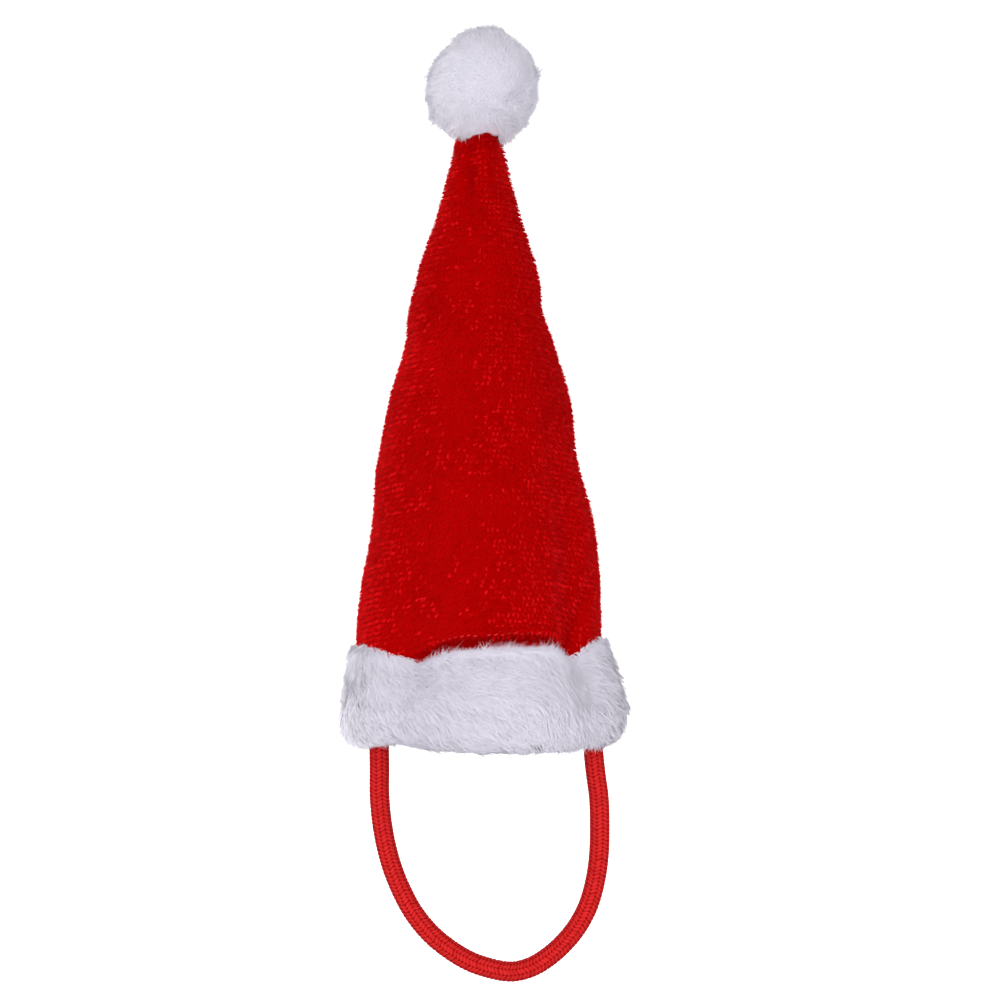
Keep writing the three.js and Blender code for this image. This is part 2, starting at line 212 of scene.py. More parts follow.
# painted light: the fur is lighter at the left end; painted shade: a little darker at the right
BAND_PAINTED_LIGHT_AND_SHADE = [Place(186, 24, 0.7), Place(340, 18, -0.05)]
BAND_HAIR = {
    "offset": 0.0009, "gather": 0.35, "length": (0.75, 1.08), "lean_noise": 0.18, "lift_noise": 0.00025,
    "tone_noise": 0.025, "bend": 0.45, "bend_lift": -0.0003,
}
BAND_HAIR_SHADING = {"softness": 0.75, "root_tip": 0.7}
BAND_HAIR_WIDTHS = {"face": 1.3, "rim": 1.0, "rim_bend": 0.9, "edge": 0.8}
BAND_STRAY = {"share": 0.10, "lift": (0.0004, 0.0018), "length": 0.7}
BAND_STRAY_PLACES = [Place(0, 30, 0.14), Place(180, 25, 0.10)]
BAND_INSIDE = {"run": 0.72, "hairs": 0.4}   # past this share of the face, inside the rim, fewer hairs grow
TOP_ROOT = {"at_seam": 0.0002, "elsewhere": -0.0022, "uneven": 0.0010, "sink": 0.6, "seam_shows": 0.02}
# Short hairs that stand up along the band's top edge, tallest at one peak
EDGE_HAIRS = 7000
EDGE_PEAK = {"at": 336, "spread": 14, "share": 0.5, "taller": 0.0010}
EDGE_UP = {"least": 0.0002, "mean": 0.00055, "most": 0.0024, "share": 0.9, "patches": 0.6, "noise": 0.35}
EDGE_PATCH = 0.004
EDGE_RUN = 0.0014
EDGE_LIFT = {"root": -0.0014, "tip": (-0.0003, 0.0005)}
EDGE_ROOT = -0.8                         # roots lie below the edge by this share of the hair's height
EDGE_SIDE = {"mean": 0.3, "noise": 0.6}
EDGE_FACING = 0.003                      # the run whose outward direction their shading follows
EDGE_TONE = 0.98

# Pompom: a ball of the same fur on a stuffed core
POMPOM_MIDDLE = np.array([0.0009, 0.0008, 0.1657])
POMPOM_RADIUS = 0.0149
POMPOM_CORE = 0.0129
Lump = namedtuple("Lump", "towards swell spread")
BALL_LUMPS = [
    Lump(towards=(-0.70, -0.30, 0.75), swell=-0.10, spread=0.55),    # flat at the upper left
    Lump(towards=(0.10, -0.20, 1.00), swell=0.03, spread=0.40),      # crest at the top
    Lump(towards=(0.65, -0.20, 0.75), swell=-0.04, spread=0.25),     # notch at the upper right
    Lump(towards=(1.00, -0.20, 0.00), swell=-0.05, spread=0.50),
    Lump(towards=(-0.95, -0.20, -0.35), swell=0.04, spread=0.40),    # tufts at the lower left
    Lump(towards=(0.60, -0.20, -0.80), swell=0.015, spread=0.40),
    Lump(towards=(-0.42, -0.38, -0.82), swell=0.09, spread=0.35),    # hangs over the crown's tip at the left
    Lump(towards=(0.28, -0.15, -0.95), swell=0.11, spread=0.24),    # and beside it at the right
    Lump(towards=(-0.98, -0.15, 0.22), swell=0.05, spread=0.13),     # tufts at the left
    Lump(towards=(-0.98, -0.10, -0.12), swell=0.05, spread=0.12),
    Lump(towards=(-0.88, -0.10, -0.48), swell=0.05, spread=0.13),
    Lump(towards=(0.42, -0.10, 0.92), swell=0.045, spread=0.10),     # tuft beside the notch
    Lump(towards=(0.57, -0.10, 0.80), swell=-0.05, spread=0.07),
    Lump(towards=(-0.30, -0.10, 0.95), swell=0.04, spread=0.12),
    Lump(towards=(0.99, -0.10, 0.10), swell=0.035, spread=0.12),
    Lump(towards=(0.10, 1.00, 0.30), swell=0.03, spread=0.50),       # uneven behind
    Lump(towards=(-0.50, 0.80, -0.20), swell=-0.04, spread=0.40),
]
TIP_PARTING = np.array([                 # x and z of the line where the fur ends on the crown's tip
    (-0.0068, 0.1508), (-0.0038, 0.1511), (-0.0018, 0.1525), (0.0047, 0.1541),
])
TIP_DEPTH = 0.003                        # fur further back than this isn't parted by the tip
POMPOM_SWEEP = {"over": 0.8, "back": 0.4, "noise": 0.26}   # the fur sweeps over the top and down to the tip
POMPOM_DIMPLE = {"depth": 0.0012, "spread": 0.5}
POMPOM_ROOT = 0.0004                     # roots lie this far inside the core
POMPOM_LOCKS = 3050
POMPOM_LOCK_HAIRS = 14
POMPOM_LEAN = {"mean": 56.0, "noise": 9.0, "least": 20.0, "most": 70.0}
SWEEP_LEAN = {"full": 0.8, "least": 0.75}   # where the sweep is weak the locks stand up more
POMPOM_REACH = {"mean": 0.955, "noise": 0.02, "least": 0.90, "most": 1.0}
# painted light and shade: locks in tufts that stand out are lighter, in sunken tufts darker
POMPOM_TONE = {"mean": 0.955, "tuft": 0.3, "noise": 0.012}
POMPOM_TUFTS = 300
POMPOM_TUFT = {"gain": (-0.06, 0.11), "spread": 0.085, "stands": 4.0}
POMPOM_WISP = {"share": 0.07, "reach": (0.03, 0.09), "lean": (22.0, 42.0)}
POMPOM_HAIR = {
    "place": 0.05, "way": 0.16, "reach": 0.02, "lean": 0.10, "tone": 0.012,
    "long_share": 0.04, "longer": 0.05,
}
POMPOM_LOCK_NOISE = 0.03
POMPOM_HAIR_WIDTH = 1.3
POMPOM_SOFTNESS = 0.35
# Hairs that the crown's tip parts are cut back in steps, and to the right of the tip they hang down
PARTED = {"step": 0.1, "shortest": 0.15, "hang": 0.0023, "towards": (0.15, 0.0, -0.1)}
POMPOM_FUZZ = 6500                       # short loose hairs that stand out of the ball
FUZZ = {"root": 0.0012, "length": 0.0007, "longest": 0.0020, "noise": 0.42, "way": 0.35, "width": 0.9}

# Stage and light: a pale floor that sweeps up behind the hat, and five softboxes
FLOOR_HEIGHT = -0.0606
STAGE_WIDTH = 6.0
STAGE_DEPTH = {"front": -3.0, "back": 1.6}
COVE_RADIUS = 0.5
COVE_STEPS = 12
WALL_HEIGHT = 3.0
Softbox = namedtuple("Softbox", "name place aim width height power")
SOFTBOXES = [
    Softbox("front_softbox", (-0.08, -1.30, 0.02), aim=(0.0, 0.0, 0.07), width=1.2, height=0.8, power=12.5),
    Softbox("left_softbox", (-1.20, -0.30, 0.10), aim=(0.0, 0.0, 0.07), width=2.2, height=2.2, power=4.0),
    Softbox("right_softbox", (1.20, -0.30, 0.10), aim=(0.0, 0.0, 0.07), width=2.2, height=2.2, power=2.5),
    Softbox("top_softbox", (0.5, -0.5, 1.3), aim=(0.0, 0.0, 0.05), width=0.9, height=0.9, power=1.2),
    Softbox("back_softbox", (-0.4, 1.2, 0.9), aim=(0.0, 0.0, 0.05), width=0.9, height=0.9, power=3.0),
]
ROOM_LIGHT = {"on_hat": 0.93, "behind": 1.0}

# Loose hairs and tufts are drawn with these seeds, so every run is the same
SEED = {
    "pile": 11, "nap": 12, "band": 13, "edge": 14, "pompom": 15, "cord": 16, "ripple": 17,
    "fine_nap": 52, "comb": 63, "pile_shade": 92, "nap_lean": 132,
}

# Steps of turn and of length over which a surface's directions are measured
TURN_STEP = 0.4
LENGTH_STEP = 0.0003


# Shape of the hat

def smooth_rise(value, low, high):
    share = np.clip((value - low) / (high - low), 0.0, 1.0)
    return share * share * (3.0 - 2.0 * share)


def smooth_row(places, values, place):
    """The value at a place on a smooth curve through a table's rows."""
    last = len(places) - 1
    above = np.minimum(np.arange(last + 1) + 1, last)
    below = np.maximum(np.arange(last + 1) - 1, 0)
    slopes = (values[above] - values[below]) / (places[above] - places[below])
    row = np.clip(np.searchsorted(places, place) - 1, 0, last - 1)
    span = places[row + 1] - places[row]
    part = (place - places[row]) / span
    rise = part * part * (3.0 - 2.0 * part)
    ease_low = part * (1.0 - part) ** 2
    ease_high = part * part * (part - 1.0)
    return (values[row] * (1.0 - rise) + values[row + 1] * rise
            + span * (ease_low * slopes[row] + ease_high * slopes[row + 1]))


def crown_size(column, height):
    return smooth_row(CROWN_SECTIONS[:, HEIGHT], CROWN_SECTIONS[:, column], height)


def near_turn(at, spread, turn):
    away = (turn - at + 540.0) % 360.0 - 180.0
    return np.exp(-(away / spread) ** 2)


def at_places(places, turn):
    """What a table of places adds at a turn."""
    return sum(place.share * near_turn(place.at, place.spread, turn) for place in places)


def hat_point(turn, height, out, fold_share=1.0):
    """The point on the hat at a turn and a height, moved outwards by out."""
    turn, height, out = np.broadcast_arrays(*(np.asarray(v, float) for v in (turn, height, out)))
    inward = np.zeros(turn.shape)
    for fold in FOLDS:
        fade = np.exp(-((height - fold.deepest) / fold.reach) ** 2)
        inward += fold_share * fold.depth * fade * near_turn(fold.at, fold.spread, turn)
    angle = np.radians(turn)
    middle_x = crown_size(MIDDLE_X, height)
    x = middle_x + (crown_size(WIDTH, height) / 2 + out - inward) * np.cos(angle)
    y = crown_size(MIDDLE_Y, height) + (crown_size(DEPTH, height) / 2 + out - inward) * np.sin(angle)
    tilt = TIP_TILT["rise"] * smooth_rise(height, TIP_TILT["start"], TIP_TILT["end"])
    return np.stack([x, y, height + tilt * (x - middle_x)], axis=-1)


def band_height(turn, height):
    """A height on the band, after its top edge dips at the folds and its foot lifts at both sides."""
    top = BAND_TOP + BAND_TOP_SLOPE * np.cos(np.radians(turn))
    for fold in FOLDS:
        top = top - fold.dip * near_turn(fold.at, fold.spread, turn)
    share = smooth_rise(height, CROWN_HEM, BAND_TOP)
    lift = sum(foot["rise"] * near_turn(foot["at"], foot["spread"], turn) for foot in BAND_FOOT_LIFTS)
    return height + height * (top / BAND_TOP - 1.0) * share + lift * (1.0 - share)


def patches(turn, height, cell, seed):
    """Soft uneven patches from -1 to 1 over the hat, each about cell across."""
    columns = max(int(round(PATCH_FIELD["girth"] / cell)), 4)
    rows = int(PATCH_FIELD["height"] / cell) + 6
    grid = np.random.default_rng(seed).uniform(-1.0, 1.0, (rows, columns))
    across, up = (turn % 360.0) / 360.0 * columns, (height + PATCH_FIELD["below"]) / cell
    column, row = np.floor(across).astype(int), np.clip(np.floor(up).astype(int), 0, rows - 2)
    part_across = smooth_rise(across - column, 0.0, 1.0)
    part_up = smooth_rise(up - row, 0.0, 1.0)
    left, right = column % columns, (column + 1) % columns
    lower = grid[row, left] * (1 - part_across) + grid[row, right] * part_across
    upper = grid[row + 1, left] * (1 - part_across) + grid[row + 1, right] * part_across
    return lower * (1 - part_up) + upper * part_up


def seam_share(turn):
    """How far the seam above the band shows at a turn, from 0 to 1."""
    turn = turn % 360.0
    return sum(smooth_rise(turn, rise, stay) * (1.0 - smooth_rise(turn, leave, end))
               for rise, stay, leave, end in SEAM_SHOWS)


def side_crease(turn, height):
    """How far the crease at the right side goes in. It climbs from the band round the side and fades."""
    foot, head = SIDE_CREASE["height"]
    first_turn, last_turn = SIDE_CREASE["turn"]
    part = (height - foot) / (head - foot)
    middle = first_turn + np.clip(part, -0.2, 1.2) * (last_turn - first_turn)
    fade = 1.0 - smooth_rise(part, 0.2, 1.2)
    return SIDE_CREASE["depth"] * near_turn(middle, SIDE_CREASE["spread"], turn) * fade


def crown_point(turn, height, out):
    """The point on the plush, with the seam's groove and ridge, the cloth's ripples and the side crease."""
    above = height - band_height(turn, BAND_TOP)
    groove = SEAM_GROOVE["depth"] * np.exp(-((above - SEAM_GROOVE["above"]) / SEAM_GROOVE["spread"]) ** 2)
    ridge = SEAM_RIDGE["height"] * np.exp(-((above - SEAM_RIDGE["above"]) / SEAM_RIDGE["spread"]) ** 2)
    ripple = CLOTH_RIPPLE["height"] * patches(turn, height, CLOTH_RIPPLE["patch"], SEED["ripple"])
    seam = seam_share(turn) * (ridge - groove)
    return hat_point(turn, height, out + seam + ripple - side_crease(turn, height))


def unit(vectors):
    return vectors / np.maximum(np.linalg.norm(vectors, axis=-1, keepdims=True), 1e-12)


def surface_frame(point_at, turn, length):
    """Directions on a surface: round the hat, along its second value and straight out of it."""
    round_way = unit(point_at(turn + TURN_STEP, length) - point_at(turn - TURN_STEP, length))
    along = unit(point_at(turn, length + LENGTH_STEP) - point_at(turn, length - LENGTH_STEP))
    return round_way, along, unit(np.cross(round_way, along))


# Meshes

def deselect_all():
    if bpy.context.object and bpy.context.object.mode != "OBJECT":
        bpy.ops.object.mode_set(mode="OBJECT")
    bpy.ops.object.select_all(action="DESELECT")


def corners_of(obj):
    corners = np.empty(len(obj.data.vertices) * 3)
    obj.data.vertices.foreach_get("co", corners)
    return corners.reshape(-1, 3)


def move_corners(obj, corners):
    obj.data.vertices.foreach_set("co", corners.astype(np.float32).ravel())
    obj.data.update()


def new_piece(name, corners, triangles, material, facing=None, **values):
    """A piece from arrays of corners and triangles, with named values kept at its corners. Where facing is
    given, the light falls on each corner as on the surface that the hair grows from."""
    mesh = bpy.data.meshes.new(name)
    mesh.vertices.add(len(corners))
    mesh.vertices.foreach_set("co", corners.astype(np.float32).ravel())
    mesh.loops.add(triangles.size)
    mesh.loops.foreach_set("vertex_index", triangles.astype(np.int32).ravel())
    mesh.polygons.add(len(triangles))
    mesh.polygons.foreach_set("loop_start", np.arange(0, triangles.size, 3, dtype=np.int32))
    mesh.polygons.foreach_set("use_smooth", np.ones(len(triangles), bool))
    mesh.update(calc_edges=True)
    if facing is not None:
        mesh.normals_split_custom_set_from_vertices(facing.tolist())
    obj = bpy.data.objects.new(name, mesh)
    bpy.context.collection.objects.link(obj)
    obj.data.materials.append(material)
    keep_values(obj, **values)
    return obj


def keep_values(obj, **values):
    for name, at_corners in values.items():
        kept = obj.data.attributes.new(name, "FLOAT", "POINT")
        kept.data.foreach_set("value", np.asarray(at_corners, np.float32))


def apply_modifier(obj, kind, **settings):
    deselect_all()
    obj.select_set(True)
    bpy.context.view_layer.objects.active = obj
    modifier = obj.modifiers.new(kind.lower(), kind)
    for key, value in settings.items():
        setattr(modifier, key, value)
    bpy.ops.object.modifier_apply(modifier=modifier.name)


def tube_of_rings(name, sides, heights):
    """A straight tube of radius 1, a circle extruded from height to height, ready to be shaped."""
    deselect_all()
    bpy.ops.mesh.primitive_circle_add(vertices=sides, radius=1.0)
    tube = bpy.context.object
    tube.name = tube.data.name = name
    bpy.ops.object.mode_set(mode="EDIT")
    bpy.ops.mesh.select_all(action="SELECT")
    bpy.ops.transform.translate(value=(0.0, 0.0, heights[0]))
    for lower, upper in zip(heights, heights[1:]):
        bpy.ops.mesh.extrude_edges_move(TRANSFORM_OT_translate={"value": (0.0, 0.0, upper - lower)})
    return tube


def finish_shape(obj, material):
    """Faces outwards, smooth, with its material."""
    deselect_all()
    obj.select_set(True)
    bpy.context.view_layer.objects.active = obj
    bpy.ops.object.mode_set(mode="EDIT")
    bpy.ops.mesh.select_all(action="SELECT")
    bpy.ops.mesh.normals_make_consistent(inside=False)
    bpy.ops.object.mode_set(mode="OBJECT")
    bpy.ops.object.shade_smooth()
    obj.data.materials.append(material)


Hairs = namedtuple("Hairs", "corners triangles along facing per_hair")


def hairs(rows, outward, half_widths, softness=0.6, flatness=0.6, root_tip=0.0):
    """Closed three-sided hairs. rows are the points along them, root first and tip last, and outward is the
    surface's direction at each row. softness is how far their shading follows the surface and not the hair,
    flatness is their thickness as a share of their width, and root_tip is the tip colour's share at roots."""
    count, rings = len(rows[0]), len(rows) - 1
    corner_rows, facing_rows = [], []
    for index in range(rings):
        ahead, behind = rows[index + 1], rows[max(index - 1, 0)]
        along = unit(ahead - behind)
        across = unit(np.cross(along, outward[index]))
        up = np.cross(across, along)
        for angle in (30.0, 150.0, 270.0):
            sideways = math.cos(math.radians(angle)) * across + flatness * math.sin(math.radians(angle)) * up
            corner_rows.append(rows[index] + half_widths[index] * sideways)
            facing_rows.append(unit(softness * outward[index] + (1.0 - softness) * unit(sideways)))
    corner_rows.append(rows[-1])
    facing_rows.append(outward[-1])
    template = [(0, 1, 2)]
    for index in range(rings - 1):
        low, high = 3 * index, 3 * index + 3
        for side in range(3):
            after = (side + 1) % 3
            template += [(low + side, high + side, high + after), (low + side, high + after, low + after)]
    low = 3 * (rings - 1)
    template += [(low + side, 3 * rings, low + (side + 1) % 3) for side in range(3)]
    per_hair = 3 * rings + 1
    triangles = np.array(template)[None] + per_hair * np.arange(count)[:, None, None]
    along_hair = root_tip + (1.0 - root_tip) * np.append(np.repeat(np.arange(rings) / rings, 3), 1.0)
    return Hairs(
        np.stack(corner_rows, axis=1).reshape(-1, 3), triangles.reshape(-1, 3), np.tile(along_hair, count),
        np.stack(facing_rows, axis=1).reshape(-1, 3), per_hair)


def fur_piece(name, material, hair_sets, tones):
    """One piece from several sets of hairs, each hair with its own tone."""
    starts = np.append(0, np.cumsum([len(each.corners) for each in hair_sets]))
    return new_piece(
        name, np.concatenate([each.corners for each in hair_sets]),
        np.concatenate([each.triangles + start for each, start in zip(hair_sets, starts)]), material,
        facing=np.concatenate([each.facing for each in hair_sets]),
        tip=np.concatenate([each.along for each in hair_sets]),
        tone=np.concatenate([np.repeat(tone, each.per_hair) for each, tone in zip(hair_sets, tones)]))


# Materials

def new_group(name, inputs, outputs):
    group = bpy.data.node_groups.new(name, "ShaderNodeTree")
    for title, kind in inputs:
        group.interface.new_socket(title, in_out="INPUT", socket_type=kind)
    for title, kind in outputs:
        group.interface.new_socket(title, in_out="OUTPUT", socket_type=kind)
    return group, group.nodes.new("NodeGroupInput"), group.nodes.new("NodeGroupOutput")


def add_math(tree, operation, *values, clamp=False):
    node = tree.nodes.new("ShaderNodeMath")
    node.operation, node.use_clamp = operation, clamp
    for socket, value in zip(node.inputs, values):
        feed(tree, socket, value)
    return node.outputs[0]


def add_mix(tree, share, first, second, blend="MIX"):
    node = tree.nodes.new("ShaderNodeMix")
    node.data_type, node.blend_type = "RGBA", blend
    for socket, value in zip((node.inputs[0], node.inputs[6], node.inputs[7]), (share, first, second)):
        feed(tree, socket, value)
    return node.outputs[2]


def feed(tree, socket, value):
    """Set a socket to a plain number, or link it to another node's output."""
    if isinstance(value, (int, float)):
        socket.default_value = value
    else:
        tree.links.new(value, socket)


def hair_shade_group():
    """Colour of fur and pile: darker at the root, as painted shade down among the hairs, tinted by each
    tuft's own tone, with a painted highlight in the glint colour above tone 1.
    """
    group, given, result = new_group(
        "hair shade",
        [("Root", "NodeSocketColor"), ("Tip", "NodeSocketColor"), ("Glint", "NodeSocketColor"),
         ("Rough Low", "NodeSocketFloat"), ("Rough High", "NodeSocketFloat")],
        [("Colour", "NodeSocketColor"), ("Roughness", "NodeSocketFloat")])
    tip = group.nodes.new("ShaderNodeAttribute")
    tip.attribute_name = "tip"
    tone = group.nodes.new("ShaderNodeAttribute")
    tone.attribute_name = "tone"
    body = add_mix(group, tip.outputs["Fac"], given.outputs["Root"], given.outputs["Tip"])
    dark = add_math(group, "MINIMUM", tone.outputs["Fac"], 1.0)
    tone_colour = group.nodes.new("ShaderNodeCombineColor")
    for socket in tone_colour.inputs:
        group.links.new(dark, socket)
    shaded = add_mix(group, 1.0, body, tone_colour.outputs[0], "MULTIPLY")
    glint = add_math(group, "SUBTRACT", tone.outputs["Fac"], 1.0, clamp=True)
    glint = add_math(group, "MULTIPLY", glint, tip.outputs["Fac"])
    group.links.new(add_mix(group, glint, shaded, given.outputs["Glint"]), result.inputs["Colour"])
    span = add_math(group, "SUBTRACT", given.outputs["Rough High"], given.outputs["Rough Low"])
    rough = add_math(group, "MULTIPLY", span, dark)
    group.links.new(add_math(group, "ADD", rough, given.outputs["Rough Low"]), result.inputs["Roughness"])
    return group


def knit_group():
    """Courses of a knitted back: fine rows with loops, as a height and a mottled tint."""
    group, given, result = new_group(
        "knit courses",
        [("Courses", "NodeSocketFloat"), ("Loops", "NodeSocketFloat"), ("Colour", "NodeSocketColor"),
         ("Shade", "NodeSocketColor")],
        [("Colour", "NodeSocketColor"), ("Height", "NodeSocketFloat"), ("Roughness", "NodeSocketFloat")])
    place = group.nodes.new("ShaderNodeTexCoord")
    apart = group.nodes.new("ShaderNodeSeparateXYZ")
    group.links.new(place.outputs["Object"], apart.inputs[0])
    rows = add_math(group, "SINE", add_math(group, "MULTIPLY", apart.outputs["Z"], given.outputs["Courses"]))
    turn = add_math(group, "ARCTAN2", apart.outputs["Y"], apart.outputs["X"])
    loops = add_math(group, "SINE", add_math(group, "MULTIPLY", turn, given.outputs["Loops"]))
    weave = add_math(group, "MULTIPLY", rows, loops)
    mottle = group.nodes.new("ShaderNodeTexNoise")
    mottle.inputs["Scale"].default_value = 180.0
    mottle.inputs["Detail"].default_value = 4.0
    group.links.new(place.outputs["Object"], mottle.inputs["Vector"])
    height = add_math(group, "ADD", add_math(group, "MULTIPLY", weave, 0.3), mottle.outputs[0])
    tint = add_math(group, "MULTIPLY_ADD", weave, 0.2, 0.4)
    colour = add_mix(group, tint, given.outputs["Colour"], given.outputs["Shade"])
    rough = add_math(group, "MULTIPLY_ADD", mottle.outputs[0], 0.2, 0.7)
    group.links.new(colour, result.inputs["Colour"])
    group.links.new(height, result.inputs["Height"])
    group.links.new(rough, result.inputs["Roughness"])
    return group


def new_material(name, specular, specular_tint, sheen=0.0, sheen_tint=(1, 1, 1, 1)):
    material = bpy.data.materials.new(name)
    material.use_nodes = True
    shader = material.node_tree.nodes["Principled BSDF"]
    shader.inputs["Specular IOR Level"].default_value = specular
    shader.inputs["Specular Tint"].default_value = specular_tint
    shader.inputs["Sheen Weight"].default_value = sheen
    shader.inputs["Sheen Tint"].default_value = sheen_tint
    shader.inputs["Sheen Roughness"].default_value = 0.8
    return material, shader


def hair_material(name, group, root, tip, glint, rough, specular, specular_tint, **sheen):
    material, shader = new_material(name, specular, specular_tint, **sheen)
    tree = material.node_tree
    shade = tree.nodes.new("ShaderNodeGroup")
    shade.node_tree = group
    for title, value in (("Root", root), ("Tip", tip), ("Glint", glint)):
        shade.inputs[title].default_value = (*value, 1.0)
    shade.inputs["Rough Low"].default_value, shade.inputs["Rough High"].default_value = rough
    tree.links.new(shade.outputs["Colour"], shader.inputs["Base Color"])
    tree.links.new(shade.outputs["Roughness"], shader.inputs["Roughness"])
    return material


def knit_material(name, group, colour, shade_colour, courses, loops, bump, specular_tint):
    material, shader = new_material(name, 0.1, specular_tint)
    tree = material.node_tree
    knit = tree.nodes.new("ShaderNodeGroup")
    knit.node_tree = group
    knit.inputs["Courses"].default_value = 2 * math.pi / courses
    knit.inputs["Loops"].default_value = loops
    knit.inputs["Colour"].default_value = (*colour, 1.0)
    knit.inputs["Shade"].default_value = (*shade_colour, 1.0)
    raised = tree.nodes.new("ShaderNodeBump")
    raised.inputs["Strength"].default_value = bump
    raised.inputs["Distance"].default_value = 0.0004
    tree.links.new(knit.outputs["Height"], raised.inputs["Height"])
    tree.links.new(raised.outputs["Normal"], shader.inputs["Normal"])
    tree.links.new(knit.outputs["Colour"], shader.inputs["Base Color"])
    tree.links.new(knit.outputs["Roughness"], shader.inputs["Roughness"])
    return material


def add_satin_coat(material, tint):
    """A tinted coat that darkens the elastic towards its edges, where light takes a longer way through it."""
    shader = material.node_tree.nodes["Principled BSDF"]
    shader.inputs["Coat Weight"].default_value = 1.0
    shader.inputs["Coat Roughness"].default_value = 0.7
    shader.inputs["Coat IOR"].default_value = 1.04
    shader.inputs["Coat Tint"].default_value = tint


hair_shade = hair_shade_group()
knit_courses = knit_group()
RED_GLOSS = (1.0, 0.05, 0.06, 1.0)
WHITE_GLOSS = (1.0, 1.0, 1.0, 1.0)
# Root colours darker than the tips are painted shade among the hairs; glint colours are painted highlights
plush_pile_red = hair_material(
    "plush_pile_red", hair_shade, root=(0.38, 0.0, 0.0), tip=(0.49, 0.0, 0.0), glint=(0.98, 0.012, 0.016),
    rough=(0.55, 0.8), specular=0.04, specular_tint=RED_GLOSS, sheen=0.9, sheen_tint=(1.0, 0.006, 0.009, 1.0))
plush_back_red = knit_material(
    "plush_back_red", knit_courses, colour=(0.38, 0.0, 0.0), shade_colour=(0.31, 0.0, 0.0),
    courses=PILE_COURSE, loops=90.0, bump=0.5, specular_tint=RED_GLOSS)
seam_thread_red = hair_material(
    "seam_thread_red", hair_shade, root=(0.35, 0.0, 0.002), tip=(0.55, 0.015, 0.02), glint=(0.75, 0.05, 0.06),
    rough=(0.4, 0.6), specular=0.3, specular_tint=RED_GLOSS)
band_fur_white = hair_material(
    "band_fur_white", hair_shade, root=(0.79, 0.752, 0.85), tip=(0.80, 0.762, 0.86), glint=(0.95, 0.92, 0.98),
    rough=(0.5, 0.75), specular=0.25, specular_tint=WHITE_GLOSS)
pompom_fur_white = hair_material(
    "pompom_fur_white", hair_shade, root=(0.89, 0.86, 0.95), tip=(0.91, 0.88, 0.97), glint=(0.94, 0.92, 0.98),
    rough=(0.5, 0.75), specular=0.25, specular_tint=WHITE_GLOSS)
fur_back_white = knit_material(
    "fur_back_white", knit_courses, colour=(0.82, 0.795, 0.86), shade_colour=(0.78, 0.76, 0.82),
    courses=0.0012, loops=110.0, bump=0.4, specular_tint=WHITE_GLOSS)
elastic_red = hair_material(
    "elastic_red", hair_shade, root=(0.45, 0.006, 0.007), tip=(0.75, 0.034, 0.034),
    glint=(0.90, 0.062, 0.068), rough=(0.5, 0.65), specular=0.15, specular_tint=RED_GLOSS)
add_satin_coat(elastic_red, tint=(0.79, 0.56, 0.56, 1.0))


# Camera

def make_camera():
    data = bpy.data.cameras.new("front_camera")
    data.sensor_width = SENSOR_WIDTH
    data.lens = SENSOR_WIDTH * CAMERA_DISTANCE / PICTURE_WIDTH
    camera = bpy.data.objects.new("front_camera", data)
    camera.location = (PICTURE_MIDDLE[0], -CAMERA_DISTANCE, PICTURE_MIDDLE[1])
    camera.rotation_euler = (math.radians(90.0), 0.0, 0.0)
    bpy.context.collection.objects.link(camera)
    bpy.context.scene.camera = camera


# Chin cord

def cord_line(step):
    """Even points along the cord's middle, and its direction at each."""
    route = np.array([(x, CORD_Y, z) for x, z in CORD_ROUTE])
    places = np.append(0.0, np.cumsum(np.linalg.norm(np.diff(route, axis=0), axis=1)))
    fine = np.linspace(0.0, places[-1], 4000)
    points = np.stack([smooth_row(places, route[:, axis], fine) for axis in range(3)], axis=1)
    run = np.append(0.0, np.cumsum(np.linalg.norm(np.diff(points, axis=0), axis=1)))
    even = np.linspace(0.0, run[-1], int(round(run[-1] / step)) + 1)
    middle = np.stack([np.interp(even, run, points[:, axis]) for axis in range(3)], axis=1)
    return even, middle, unit(np.gradient(middle, axis=0))


def braid_grain():
    """One crossing of the braid, a small pillow with pointed ends, modelled once."""
    deselect_all()
    bpy.ops.mesh.primitive_uv_sphere_add(segments=6, ring_count=4, radius=0.5)
    grain = bpy.context.object
    bpy.ops.object.mode_set(mode="EDIT")
    bpy.ops.mesh.select_all(action="SELECT")
    bpy.ops.transform.resize(value=(GRAIN["length"], GRAIN["width"], GRAIN["thick"]))
    bpy.ops.mesh.quads_convert_to_tris()
    bpy.ops.object.mode_set(mode="OBJECT")
    corners = corners_of(grain)
    triangles = np.array([polygon.vertices[:] for polygon in grain.data.polygons])
    bpy.data.objects.remove(grain)
    return corners, triangles


